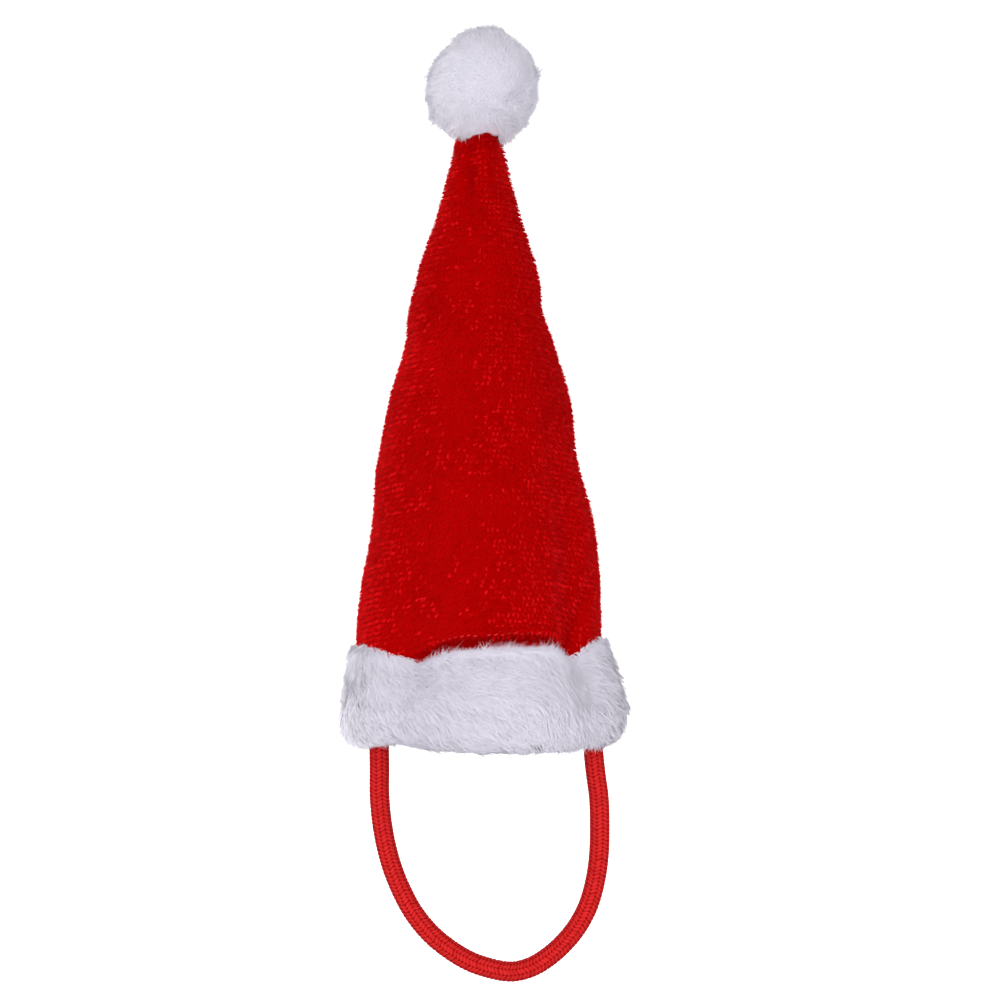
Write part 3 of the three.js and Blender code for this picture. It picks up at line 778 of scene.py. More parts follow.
def make_chin_cord():
    """The elastic loop: a round core wrapped in columns of slanted crossings."""
    run, middle, along = cord_line(BRAID_PITCH / 2)
    side = np.array([0.0, 1.0, 0.0])
    face = np.cross(along, side)

    def on_cord(place, angle, radius):
        centre = np.stack([np.interp(place, run, middle[:, axis]) for axis in range(3)], axis=-1)
        facing = unit(np.stack([np.interp(place, run, face[:, axis]) for axis in range(3)], axis=-1))
        spoke = np.cos(angle)[..., None] * facing + np.sin(angle)[..., None] * side
        return centre + radius[..., None] * spoke

    core_rings = run[::2]
    place = np.repeat(core_rings, CORD_SIDES)
    angle = np.tile(np.arange(CORD_SIDES) * 2 * math.pi / CORD_SIDES, len(core_rings))
    core = on_cord(place, angle, np.full(place.shape, CORD_CORE / 2))
    ends = middle[[0, -1]]
    triangles = []
    for ring in range(len(core_rings) - 1):
        for corner in range(CORD_SIDES):
            here, after = ring * CORD_SIDES + corner, ring * CORD_SIDES + (corner + 1) % CORD_SIDES
            triangles += [(here, here + CORD_SIDES, after + CORD_SIDES), (here, after + CORD_SIDES, after)]
    first_end = len(core)
    last_ring = (len(core_rings) - 1) * CORD_SIDES
    for corner in range(CORD_SIDES):
        after = (corner + 1) % CORD_SIDES
        triangles += [(first_end, corner, after), (first_end + 1, last_ring + after, last_ring + corner)]
    core = np.concatenate([core, ends])

    grain, grain_triangles = braid_grain()
    rng = np.random.default_rng(SEED["cord"])
    rows = np.arange(int(run[-1] / BRAID_PITCH) - 1) + 0.5
    column, row = np.meshgrid(np.arange(BRAID_COLUMNS), rows, indexing="ij")
    column, row = column.ravel(), row.ravel()
    slant = np.radians(BRAID_SLANT) * np.where(column % 2 == 0, 1.0, -1.0)
    slant = slant * rng.normal(1.0, BRAID_NOISE["slant"], column.shape)
    across = grain[None, :, 0] * np.cos(slant)[:, None] - grain[None, :, 1] * np.sin(slant)[:, None]
    down = grain[None, :, 0] * np.sin(slant)[:, None] + grain[None, :, 1] * np.cos(slant)[:, None]
    middle_radius = CORD_DIAMETER / 2 - BRAID_SUNK * GRAIN["thick"]
    grain_angle = (column[:, None] + 0.5) * 2 * math.pi / BRAID_COLUMNS + across / (CORD_DIAMETER / 2)
    grain_place = (row[:, None] + rng.normal(0.0, BRAID_NOISE["place"], (len(row), 1))) * BRAID_PITCH + down
    grain_radius = middle_radius + np.broadcast_to(grain[None, :, 2], across.shape)
    braid = on_cord(grain_place, grain_angle, grain_radius)
    first_corners = len(core) + len(grain) * np.arange(len(row))
    braid_triangles = grain_triangles[None, :, ::-1] + first_corners[:, None, None]
    # painted shade: each crossing darkens towards the core
    tip = np.tile(np.clip(grain[:, 2] / GRAIN["thick"] + 0.55, 0.0, 1.0), len(row))
    tone = np.repeat(rng.uniform(*BRAID_TONE, len(row)), len(grain))
    cord = new_piece(
        "chin_cord_braid",
        np.concatenate([core, braid.reshape(-1, 3)]),
        np.concatenate([np.array(triangles), braid_triangles.reshape(-1, 3)]),
        elastic_red,
        tip=np.concatenate([np.zeros(len(core)), tip]),
        tone=np.concatenate([np.full(len(core), CORE_PAINTED_SHADE), tone]))
    own = np.empty(len(cord.data.vertices) * 3)
    cord.data.vertex_normals.foreach_get("vector", own)
    axis_points = on_cord(grain_place, grain_angle, np.zeros(grain_place.shape)).reshape(-1, 3)
    below_ends = ends - np.array([[0, 0, 1e-3]])
    core_axis = np.concatenate([on_cord(place, angle, np.zeros(place.shape)), below_ends])
    around = unit(corners_of(cord) - np.concatenate([core_axis, axis_points]))
    shading = unit(CORD_SOFTNESS * around + (1.0 - CORD_SOFTNESS) * own.reshape(-1, 3))
    cord.data.normals_split_custom_set_from_vertices(shading.tolist())
    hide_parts("chin_cord")
    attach(cord, "root")


# Crown

def make_crown_cloth():
    """The knitted back of the plush: a tube of rings drawn in to the cone, its tip gathered shut."""
    heights = np.concatenate([
        np.arange(CROWN_HEM, SEAM_ZONE[0], CLOTH_STEP), np.arange(*SEAM_ZONE, SEAM_STEP),
        np.arange(SEAM_ZONE[1], CROWN_TIP, CLOTH_STEP), [CROWN_TIP]])
    cloth = tube_of_rings("crown_cloth", CLOTH_SIDES, list(heights))
    for inner in TIP_GATHER:
        bpy.ops.mesh.extrude_edges_move(TRANSFORM_OT_translate={"value": (0.0, 0.0, 0.0)})
        bpy.ops.transform.resize(value=(inner, inner, 1.0))
    bpy.ops.mesh.merge(type="CENTER")
    bpy.ops.object.mode_set(mode="OBJECT")
    tube = corners_of(cloth)
    turn = np.degrees(np.arctan2(tube[:, 1], tube[:, 0]))
    radius = np.hypot(tube[:, 0], tube[:, 1])
    height = np.where(tube[:, 2] < CROWN_HEM + 1e-5, band_height(turn, tube[:, 2]), tube[:, 2])
    shaped = cloth_point(turn, height)
    middle = np.stack([crown_size(MIDDLE_X, height), crown_size(MIDDLE_Y, height), height], axis=1)
    inside = np.clip(1.0 - radius, 0.0, 1.0)[:, None]
    shaped = shaped * (1.0 - inside) + middle * inside + np.array([0.0, 0.0, TIP_POINT]) * inside
    move_corners(cloth, shaped)
    finish_shape(cloth, plush_back_red)
    apply_modifier(cloth, "SOLIDIFY", thickness=CLOTH_WALL, offset=-1.0, use_even_offset=False)
    return cloth


def cloth_point(turn, height):
    """The point on the knitted back, under the pile."""
    at_tip = smooth_rise(height, TIP_TILT["start"], TIP_TILT["end"])
    return crown_point(turn, height, TIP_INSET * -at_tip - CLOTH_INSET * (1.0 - at_tip))


def pile_tufts():
    """Turns and heights of the tufts, course by course. A course is straight on the flat cut of the cone, so
    on the hat it droops from the middle of the front towards the seam at the back."""
    turns, heights = [], []
    front_heights = np.arange(BAND_TOP - PILE_ENDS["first"], CONE_APEX - PILE_ENDS["apex"], PILE_COURSE)
    for course, front_height in enumerate(front_heights):
        level = np.array(min(front_height, CROWN_TIP))
        wide, deep = crown_size(WIDTH, level) / 2, crown_size(DEPTH, level) / 2
        round_length = math.pi * (3 * (wide + deep) - math.sqrt((3 * wide + deep) * (wide + 3 * deep)))
        count = int(round(round_length / PILE_STEP))
        turn = (np.arange(count) + 0.5 * (course % 2)) * 360.0 / count
        from_front = np.radians(FLAT_CUT_ANGLE) * ((turn - 270.0 + 540.0) % 360.0 - 180.0) / 360.0
        turns.append(turn)
        heights.append(CONE_APEX - (CONE_APEX - front_height) / np.cos(from_front))
    turn, height = np.concatenate(turns), np.concatenate(heights)
    shown = height > band_height(turn, BAND_TOP) - PILE_ENDS["under_band"]
    shown &= height < CROWN_TIP + PILE_ENDS["past_tip"]
    return turn[shown], height[shown]


def ruffled_nap(turn, height):
    """How far the nap is ruffled up, from 0 where it lies smooth to 1."""
    ruffled = RUFFLE["mean"] + RUFFLE["patches"] * patches(turn, height, NAP_PATCH, SEED["nap"])
    ruffled += RUFFLE["fine_patches"] * patches(turn, height, NAP_PATCH / 2, SEED["fine_nap"])
    ruffled += at_places(RUFFLED_PLACES, turn)
    return np.clip(ruffled, 0.0, 1.0)


def make_plush_pile():
    """Short pile in tufts, lying smooth in some patches and ruffled into bright specks in others."""
    rng = np.random.default_rng(SEED["pile"])
    turn, height = pile_tufts()
    count = len(turn)
    ruffled = ruffled_nap(turn, height)
    at_sides = at_places(PILE_PAINTED_LIGHT_PLACES, turn)
    # painted shade: darker between the specks where the nap is ruffled
    shade = TUFT_SHADE["smooth"] + TUFT_SHADE["ruffled"] * ruffled
    shade += TUFT_SHADE["patches"] * patches(turn, height, SHADE_PATCH, SEED["pile_shade"])
    shade += TUFT_SHADE["noise"] * rng.normal(0.0, 1.0, count)
    # painted light: tufts are made lighter towards both sides of the hat
    shade += TUFT_SHADE["sides"] * at_sides
    plain_tone = np.clip(shade, TUFT_SHADE["darkest"], 1.0) + PILE_SIDE_PAINTED_LIGHT * at_sides
    speck_share = SPECK_SHARE["smooth"] + SPECK_SHARE["ruffled"] * ruffled ** SPECK_SHARE["power"]
    speck = rng.random(count) < speck_share
    # painted highlight: a speck's tone above 1 mixes in the glint colour
    glint = SPECK_GLINT["least"] + SPECK_GLINT["range"] * rng.random(count) ** SPECK_GLINT["power"]
    tuft_tone = np.where(speck, glint, plain_tone)
    tuft_lean = NAP_LEAN["patches"] * patches(turn, height, NAP_PATCH, SEED["nap_lean"])
    tuft_lean += NAP_LEAN["noise"] * rng.normal(0.0, 1.0, count)
    plain_spread = TUFT_SPREAD["smooth"] + TUFT_SPREAD["ruffled"] * ruffled
    tuft_spread = np.where(speck, SPECK["spread"], plain_spread)
    tuft_out = PILE_NAP["out"] + PILE_NAP["ruffled_out"] * ruffled + np.where(speck, SPECK["out"], 0.0)
    tuft_turn = turn + rng.normal(0.0, TUFT_JITTER["turn"], count)
    tuft_height = height + rng.normal(0.0, TUFT_JITTER["height"], count)

    each = np.repeat(np.arange(count), PILE_FIBRES)
    total = len(each)
    in_speck = speck[each]
    height = tuft_height[each] + tuft_spread[each] * rng.normal(0.0, 1.0, total)
    radius = np.maximum(crown_size(WIDTH, height) / 2, TUFT_SPREAD["narrowest"])
    turn = tuft_turn[each] + np.degrees(tuft_spread[each] * rng.normal(0.0, 1.0, total) / radius)
    height = np.minimum(height, CROWN_TIP + PILE_ENDS["highest"])

    round_way, up, out = surface_frame(cloth_point, turn, height)
    loose = np.where(in_speck, SPECK["loose"], 1.0)
    lean = tuft_lean[each]
    down_share = PILE_NAP["down"] * np.cos(lean) + loose * rng.normal(0.0, FIBRE_NOISE["down"], total)
    round_share = PILE_NAP["round"] + NAP_LEAN["swing"] * np.sin(lean)
    round_share += loose * rng.normal(0.0, FIBRE_NOISE["round"], total)
    out_share = tuft_out[each] + rng.normal(0.0, FIBRE_NOISE["out"], total)
    direction = unit(-down_share[:, None] * up + round_share[:, None] * round_way + out_share[:, None] * out)
    length = PILE_LENGTH * rng.uniform(*FIBRE_LENGTH, total) * np.where(in_speck, SPECK["length"], 1.0)
    stray = rng.random(total) < STRAY_FIBRES["share"]
    length = np.where(stray, STRAY_FIBRES["length"] * length, length)
    direction = np.where(stray[:, None], unit(direction + STRAY_FIBRES["out"] * out), direction)
    above = height - band_height(turn, BAND_TOP)
    in_groove = np.exp(-((above - SEAM_GROOVE["above"]) / PILE_IN_GROOVE["spread"]) ** 2) * seam_share(turn)
    at_band = 1.0 - smooth_rise(above, *PILE_AT_BAND["rise"])
    length = length * (1.0 - (1.0 - PILE_AT_BAND["length"]) * at_band)
    length = length * (1.0 - PILE_IN_GROOVE["shorter"] * in_groove)
    root = cloth_point(turn, height) - PILE_ROOT * out
    tip = root + direction * length[:, None]
    tone = tuft_tone[each] * rng.normal(1.0, FIBRE_NOISE["tone"], total)
    # painted shade: darker in the seam's groove
    tone = tone * (1.0 - PILE_IN_GROOVE["darker"] * in_groove)
    half_width = PILE_HALF_WIDTH * np.where(in_speck, SPECK["width"], 1.0)

    pile = []
    front = np.sin(np.radians(turn)) < 0.0
    for name, shown in (("plush_pile_front", front), ("plush_pile_back", ~front)):
        fibres = hairs([root[shown], tip[shown]], [out[shown]] * 2, [half_width[shown, None]], **PILE_SHADING)
        pile.append(fur_piece(name, plush_pile_red, [fibres], [tone[shown]]))
    return pile


def make_seam_stitches():
    """The row of thread along the ridge above the band."""
    grain, grain_triangles = braid_grain()
    grain = grain * np.array(STITCH_SIZE)
    rng = np.random.default_rng(SEED["edge"])
    turn = (np.arange(STITCH_PLACES) + 0.5) * 360.0 / STITCH_PLACES
    in_reach = near_turn(STITCH_MIDDLE, STITCH_REACH["spread"], turn) > STITCH_REACH["least"]
    at_back = turn < 180.0
    sewn = rng.random(STITCH_PLACES) > STITCH_MISSED
    turn = turn[(seam_share(turn) > 0.5) & (in_reach | at_back) & sewn]
    count = len(turn)
    height = band_height(turn, BAND_TOP) + SEAM_RIDGE["above"] - STITCH_BELOW_RIDGE["mean"]
    height = height + rng.normal(0.0, STITCH_BELOW_RIDGE["noise"], count)
    round_way, up, out = surface_frame(lambda t, h: crown_point(t, h, 0.0), turn, height)
    shown = near_turn(STITCH_MIDDLE, STITCH_OUT["spread"], turn)
    stands_out = STITCH_OUT["sunk"] + (STITCH_OUT["proud"] - STITCH_OUT["sunk"]) * shown
    middle = crown_point(turn, height, stands_out)
    slant = np.radians(rng.normal(STITCH_SLANT["mean"], STITCH_SLANT["noise"], count))[:, None]
    across = np.cos(slant) * round_way + np.sin(slant) * up
    rise = -np.sin(slant) * round_way + np.cos(slant) * up
    corners = (middle[:, None] + grain[None, :, 0:1] * across[:, None] + grain[None, :, 1:2] * rise[:, None]
               + grain[None, :, 2:3] * out[:, None])
    triangles = grain_triangles[None] + len(grain) * np.arange(count)[:, None, None]
    tone = np.repeat(rng.uniform(*STITCH_TONE, count), len(grain))
    return new_piece("seam_stitches", corners.reshape(-1, 3), triangles.reshape(-1, 3), seam_thread_red,
                     tip=np.ones(count * len(grain)), tone=tone)


# Fur band

def band_point(turn, run, lift, fold_share=1.0):
    """The point on the fur's face: run goes from the top edge down, round the rim and up the inside."""
    turn, run, lift = np.broadcast_arrays(*(np.asarray(v, float) for v in (turn, run, lift)))
    inside_run = np.clip(run, -FACE_ABOVE, FACE_LENGTH)
    out = smooth_row(FACE_RUN, BAND_FACE[:, 0], inside_run)
    height = smooth_row(FACE_RUN, BAND_FACE[:, 1], inside_run)
    step = 0.0002
    along_out = smooth_row(FACE_RUN, BAND_FACE[:, 0], inside_run + step) - out
    along_height = smooth_row(FACE_RUN, BAND_FACE[:, 1], inside_run + step) - height
    size = np.hypot(along_out, along_height)
    out, height = out - lift * along_height / size, height + lift * along_out / size
    return hat_point(turn, band_height(turn, height), out, fold_share)


def make_band_backing():
    """The knitted back of the fur strip, folded round the hem."""
    tube = tube_of_rings("fur_band_backing", BACKING_SIDES, list(np.linspace(0.0, 1.0, BACKING_RINGS)))
    bpy.ops.object.mode_set(mode="OBJECT")
    corners = corners_of(tube)
    turn = np.degrees(np.arctan2(corners[:, 1], corners[:, 0]))
    run = BACKING_INSET["top"] + corners[:, 2] * (FACE_LENGTH - BACKING_INSET["both"])
    move_corners(tube, band_point(turn, run, -BAND_BACKING_DEPTH))
    finish_shape(tube, fur_back_white)
    apply_modifier(tube, "SOLIDIFY", thickness=BAND_BACKING_WALL, offset=-1.0, use_even_offset=False)
    return tube


def band_outward(turn, run):
    """The direction straight out of the fur, whose loft evens out half of each fold."""
    return -surface_frame(lambda t, r: band_point(t, r, 0.0, BAND_FOLD_SHARE), turn, run)[2]


def fur_facing(turn, run):
    """The direction that the fur's shading follows: at the left end it turns to the front."""
    forward = LEFT_END_GLOW["share"] * near_turn(LEFT_END_GLOW["at"], LEFT_END_GLOW["spread"], turn)
    return unit(band_outward(turn, run) - forward[:, None] * np.array([0.0, 1.0, 0.0]))


def comb_lean(turn):
    table = np.array(COMB_DEGREES, float)
    return np.radians(np.interp(turn % 360.0, table[:, 0], table[:, 1]))


def band_edge_hairs(rng):
    """The short hairs along the top edge: their rows of points, outward directions and turns."""
    turn = rng.uniform(0.0, 360.0, EDGE_HAIRS)
    run = rng.uniform(0.0, EDGE_RUN, EDGE_HAIRS)
    at_peak = near_turn(EDGE_PEAK["at"], EDGE_PEAK["spread"], turn)
    up = EDGE_UP["least"] + rng.exponential(EDGE_UP["mean"], EDGE_HAIRS)
    uneven = patches(turn, np.zeros(EDGE_HAIRS), EDGE_PATCH, SEED["edge"])
    up *= EDGE_UP["share"] + EDGE_UP["patches"] * uneven + EDGE_PEAK["share"] * at_peak
    up *= np.exp(EDGE_UP["noise"] * rng.normal(0.0, 1.0, EDGE_HAIRS))
    up = np.minimum(up, EDGE_UP["most"] + EDGE_PEAK["taller"] * at_peak)
    side = up * rng.normal(EDGE_SIDE["mean"], EDGE_SIDE["noise"], EDGE_HAIRS)
    tip_lift = rng.uniform(*EDGE_LIFT["tip"], EDGE_HAIRS)
    rows, out = [], []
    for share, lift in ((EDGE_ROOT, EDGE_LIFT["root"]), (1.0, tip_lift)):
        turn_here = turn + np.degrees(side * share / BAND_HALF_WIDTH)
        rows.append(band_point(turn_here, run - up * share, lift))
        out.append(band_outward(turn_here, np.full(EDGE_HAIRS, EDGE_FACING)))
    return rows, out, turn


def make_band_fur():
    """Long hairs in locks over the backing, combed as the fur lies, with a fluffy top edge."""
    rng = np.random.default_rng(SEED["band"])
    lock_turn = rng.uniform(0.0, 360.0, BAND_LOCKS)
    lock_run = FACE_LENGTH * rng.uniform(*BAND_LOCK["run"], BAND_LOCKS)
    lock_lean = comb_lean(lock_turn) + rng.normal(0.0, BAND_LOCK["lean_noise"], BAND_LOCKS)
    lock_lean += BAND_LOCK["comb_lean"] * patches(lock_turn, lock_run, BAND_LOCK["comb_patch"], SEED["comb"])
    lock_length = BAND_HAIR_LENGTH * rng.uniform(*BAND_LOCK["length"], BAND_LOCKS)
    lock_tone = BAND_LOCK["tone"] + BAND_LOCK["tone_noise"] * rng.normal(0.0, 1.0, BAND_LOCKS)
    # painted light at the fur's left end and painted shade at its right
    lock_tone += at_places(BAND_PAINTED_LIGHT_AND_SHADE, lock_turn)

    each = np.repeat(np.arange(BAND_LOCKS), BAND_LOCK_HAIRS)
    inside = lock_run[each] > BAND_INSIDE["run"] * FACE_LENGTH
    each = each[~inside | (rng.random(len(each)) < BAND_INSIDE["hairs"])]
    total = len(each)
    off_run = rng.normal(0.0, BAND_HAIR["offset"], total)
    off_round = rng.normal(0.0, BAND_HAIR["offset"], total)
    root_turn = lock_turn[each] + np.degrees(off_round / BAND_HALF_WIDTH)
    at_seam = seam_share(root_turn) > TOP_ROOT["seam_shows"]
    top_root = np.where(at_seam, TOP_ROOT["at_seam"], TOP_ROOT["elsewhere"])
    top_root = top_root + rng.uniform(0.0, TOP_ROOT["uneven"], total)
    root_run = np.maximum(lock_run[each] + off_run, top_root)
    root_lift = -BAND_BACKING_DEPTH - TOP_ROOT["sink"] * np.maximum(-root_run, 0.0)
    lean = lock_lean[each] + rng.normal(0.0, BAND_HAIR["lean_noise"], total)
    length = lock_length[each] * rng.uniform(*BAND_HAIR["length"], total)
    lock_lift = BAND_LOCK["lift"] + BAND_LOCK["lift_noise"] * rng.normal(0.0, 1.0, BAND_LOCKS)
    raised = rng.random(BAND_LOCKS) < BAND_LOCK["raised_share"]
    lock_lift += np.where(raised, rng.uniform(*BAND_LOCK["raised"], BAND_LOCKS), 0.0)
    tip_lift = lock_lift[each] + BAND_HAIR["lift_noise"] * rng.normal(0.0, 1.0, total)
    stray = rng.random(total) < BAND_STRAY["share"] + at_places(BAND_STRAY_PLACES, root_turn)
    tip_lift = np.where(stray, rng.uniform(*BAND_STRAY["lift"], total), tip_lift)
    length = np.where(stray, BAND_STRAY["length"] * length, length)
    tip_run = root_run + length * np.cos(lean)
    at_corner = near_turn(LEFT_CORNER["at"], LEFT_CORNER["spread"], root_turn)
    at_corner = at_corner * np.exp(-((tip_run - LEFT_CORNER["run"]) / LEFT_CORNER["run_spread"]) ** 2)
    tip_lift += LEFT_CORNER["swell"] * at_corner

    def place_on_hair(share):
        run = root_run + length * share * np.cos(lean) - BAND_HAIR["gather"] * share * off_run
        sideways = length * share * np.sin(lean) - BAND_HAIR["gather"] * share * off_round
        return root_turn + np.degrees(sideways / BAND_HALF_WIDTH), run

    rows, out = [], []
    bend_lift = BAND_HAIR["bend_lift"] + 0.5 * tip_lift
    for share, lift in ((0.0, root_lift), (BAND_HAIR["bend"], bend_lift), (1.0, tip_lift)):
        turn, run = place_on_hair(share)
        rows.append(band_point(turn, run, lift))
        out.append(fur_facing(turn, run))
    tone = lock_tone[each] + rng.normal(0.0, BAND_HAIR["tone_noise"], total)
    bent = tip_run > BAND_FACE_ENDS
    front = np.sin(np.radians(root_turn)) < 0.0
    edge_rows, edge_out, edge_turn = band_edge_hairs(rng)
    edge_front = np.sin(np.radians(edge_turn)) < 0.0

    width = {part: share * HAIR_HALF_WIDTH for part, share in BAND_HAIR_WIDTHS.items()}
    halves = (("fur_band_front", front, edge_front), ("fur_band_back", ~front, ~edge_front))
    fur = []
    for name, shown, edge_shown in halves:
        on_rim, on_face = shown & bent, shown & ~bent
        rim_hairs = hairs([row[on_rim] for row in rows], [row[on_rim] for row in out],
                          [width["rim"], width["rim_bend"]], **BAND_HAIR_SHADING)
        face_hairs = hairs([row[on_face] for row in rows[::2]], [row[on_face] for row in out[::2]],
                           [width["face"]], **BAND_HAIR_SHADING)
        edge_hairs = hairs([row[edge_shown] for row in edge_rows], [row[edge_shown] for row in edge_out],
                           [width["edge"]])
        edge_tone = np.full(edge_shown.sum(), EDGE_TONE)
        fur.append(fur_piece(name, band_fur_white, (rim_hairs, face_hairs, edge_hairs),
                             (tone[on_rim], tone[on_face], edge_tone)))
    return fur


# Pompom

def ball_lump(direction):
    """The ball's uneven radius, as a share, in every direction."""
    share = np.ones(len(direction))
    for lump in BALL_LUMPS:
        away = np.arccos(np.clip(direction @ unit(np.array(lump.towards)), -1.0, 1.0))
        share += lump.swell * np.exp(-(away / lump.spread) ** 2)
    return share


def make_pompom_core():
    """The stuffed ball under the fur, with a dimple where it sits on the crown's tip."""
    deselect_all()
    bpy.ops.mesh.primitive_ico_sphere_add(subdivisions=4, radius=POMPOM_CORE)
    core = bpy.context.object
    core.name = core.data.name = "pompom_core"
    ball = corners_of(core)
    direction = unit(ball)
    from_below = np.arccos(np.clip(-direction[:, 2], -1, 1))
    dimple = POMPOM_DIMPLE["depth"] * np.exp(-(from_below / POMPOM_DIMPLE["spread"]) ** 2)
    ball = direction * (POMPOM_CORE * ball_lump(direction) - dimple)[:, None]
    move_corners(core, ball + POMPOM_MIDDLE)
    finish_shape(core, fur_back_white)
    return core


def over_crown_tip(place):
    """Whether a place is in front of the crown's tip, below the line where the fur ends."""
    x, y, z = place.T
    left, right = TIP_PARTING[[0, -1], 0]
    below = z < np.interp(x, TIP_PARTING[:, 0], TIP_PARTING[:, 1])
    return (x > left) & (x < right) & (y < TIP_DEPTH) & below


PompomLocks = namedtuple("PompomLocks", "out swirl lean reach tone")


def pompom_locks(rng):
    """The locks, spread evenly over the ball: where they grow, which way they lie and how far they reach."""
    number = np.arange(POMPOM_LOCKS) + 0.5
    rise = 1.0 - 2.0 * number / POMPOM_LOCKS
    spin = math.pi * (3.0 - math.sqrt(5.0)) * number
    ring = np.sqrt(1.0 - rise * rise)
    out = np.stack([ring * np.cos(spin), ring * np.sin(spin), rise], axis=1)
    out = unit(out + rng.normal(0.0, POMPOM_LOCK_NOISE, out.shape))
    back = np.full(POMPOM_LOCKS, POMPOM_SWEEP["back"])
    swirl = np.stack([-out[:, 2] - POMPOM_SWEEP["over"], back, out[:, 0]], axis=1)
    strength = np.linalg.norm(np.cross(swirl, out), axis=1)
    swirl += rng.normal(0.0, POMPOM_SWEEP["noise"], out.shape)
    swirl = unit(swirl - np.sum(swirl * out, axis=1, keepdims=True) * out)
    lean = rng.normal(POMPOM_LEAN["mean"], POMPOM_LEAN["noise"], POMPOM_LOCKS)
    lean = np.radians(np.clip(lean, POMPOM_LEAN["least"], POMPOM_LEAN["most"]))
    lean *= np.clip(strength / SWEEP_LEAN["full"], SWEEP_LEAN["least"], 1.0)
    reach = rng.normal(POMPOM_REACH["mean"], POMPOM_REACH["noise"], POMPOM_LOCKS)
    reach = np.clip(reach, POMPOM_REACH["least"], POMPOM_REACH["most"])
    tuft_out = unit(rng.normal(0.0, 1.0, (POMPOM_TUFTS, 3)))
    tuft_gain = rng.uniform(*POMPOM_TUFT["gain"], POMPOM_TUFTS)
    towards_tuft = out @ tuft_out.T
    nearest = np.argmax(towards_tuft, axis=1)
    away = np.arccos(np.clip(towards_tuft[np.arange(POMPOM_LOCKS), nearest], -1.0, 1.0))
    in_tuft = np.exp(-(away / POMPOM_TUFT["spread"]) ** 2)
    reach += in_tuft * tuft_gain[nearest]
    lean -= in_tuft * np.maximum(tuft_gain[nearest], 0.0) * POMPOM_TUFT["stands"]
    wisp = rng.random(POMPOM_LOCKS) < POMPOM_WISP["share"]
    reach += np.where(wisp, rng.uniform(*POMPOM_WISP["reach"], POMPOM_LOCKS), 0.0)
    lean = np.where(wisp, np.radians(rng.uniform(*POMPOM_WISP["lean"], POMPOM_LOCKS)), lean)
    # painted light and shade: lighter in proud tufts, darker in sunken ones
    tone = POMPOM_TONE["mean"] + POMPOM_TONE["tuft"] * tuft_gain[nearest] * in_tuft
    tone += POMPOM_TONE["noise"] * rng.normal(0.0, 1.0, POMPOM_LOCKS)
    return PompomLocks(out, swirl, lean, reach, tone)


def make_pompom_fur():
    """Hairs in locks all over the core, swept round the ball and cut short where the crown's tip is."""
    rng = np.random.default_rng(SEED["pompom"])
    locks = pompom_locks(rng)
    each = np.repeat(np.arange(POMPOM_LOCKS), POMPOM_LOCK_HAIRS)
    total = len(each)
    out = unit(locks.out[each] + rng.normal(0.0, POMPOM_HAIR["place"], (total, 3)))
    way = unit(locks.swirl[each] + rng.normal(0.0, POMPOM_HAIR["way"], (total, 3)))
    way = unit(way - np.sum(way * out, axis=1, keepdims=True) * out)
    size = ball_lump(out)
    reach = locks.reach[each] + rng.normal(0.0, POMPOM_HAIR["reach"], total)
    reach += np.where(rng.random(total) < POMPOM_HAIR["long_share"], POMPOM_HAIR["longer"], 0.0)
    lean = locks.lean[each] + rng.normal(0.0, POMPOM_HAIR["lean"], total)
    root_radius = (POMPOM_CORE - POMPOM_ROOT) * size
    tip_radius = POMPOM_RADIUS * size * reach
    length = np.sqrt(tip_radius ** 2 - (root_radius * np.sin(lean)) ** 2) - root_radius * np.cos(lean)
    root = out * root_radius[:, None] + POMPOM_MIDDLE
    tip = root + length[:, None] * (out * np.cos(lean)[:, None] + way * np.sin(lean)[:, None])

    share = np.ones(total)
    for part in np.arange(1.0, -PARTED["step"] / 2, -PARTED["step"]):
        share = np.where(over_crown_tip(root + (tip - root) * part), part - PARTED["step"], share)
    right_of_tip = (share < 1.0) & (root[:, 0] > TIP_PARTING[-1, 0])
    hanging = root + PARTED["hang"] * size[:, None] * unit(out + np.array(PARTED["towards"]))
    tip = np.where(right_of_tip[:, None], hanging, root + (tip - root) * share[:, None])
    tone = locks.tone[each] + rng.normal(0.0, POMPOM_HAIR["tone"], total)
    kept = right_of_tip | (share > PARTED["shortest"])
    tip_out = unit(tip - POMPOM_MIDDLE)
    ball_hairs = hairs([root[kept], tip[kept]], [out[kept], tip_out[kept]],
                       [POMPOM_HAIR_WIDTH * HAIR_HALF_WIDTH], softness=POMPOM_SOFTNESS)

    fuzz = rng.choice(np.flatnonzero(share == 1.0), POMPOM_FUZZ, replace=False)
    fuzz_out = tip_out[fuzz]
    fuzz_way = unit(fuzz_out + rng.normal(0.0, FUZZ["noise"], (POMPOM_FUZZ, 3)) + FUZZ["way"] * way[fuzz])
    fuzz_root = tip[fuzz] - FUZZ["root"] * fuzz_out
    fuzz_length = FUZZ["root"] + rng.exponential(FUZZ["length"], POMPOM_FUZZ).clip(0.0, FUZZ["longest"])
    fuzz_tip = fuzz_root + fuzz_length[:, None] * fuzz_way
    fuzz_hairs = hairs([fuzz_root, fuzz_tip], [fuzz_out] * 2, [FUZZ["width"] * HAIR_HALF_WIDTH])
    return fur_piece("pompom_fur", pompom_fur_white, [ball_hairs, fuzz_hairs], [tone[kept], tone[fuzz]])


# Stage and light

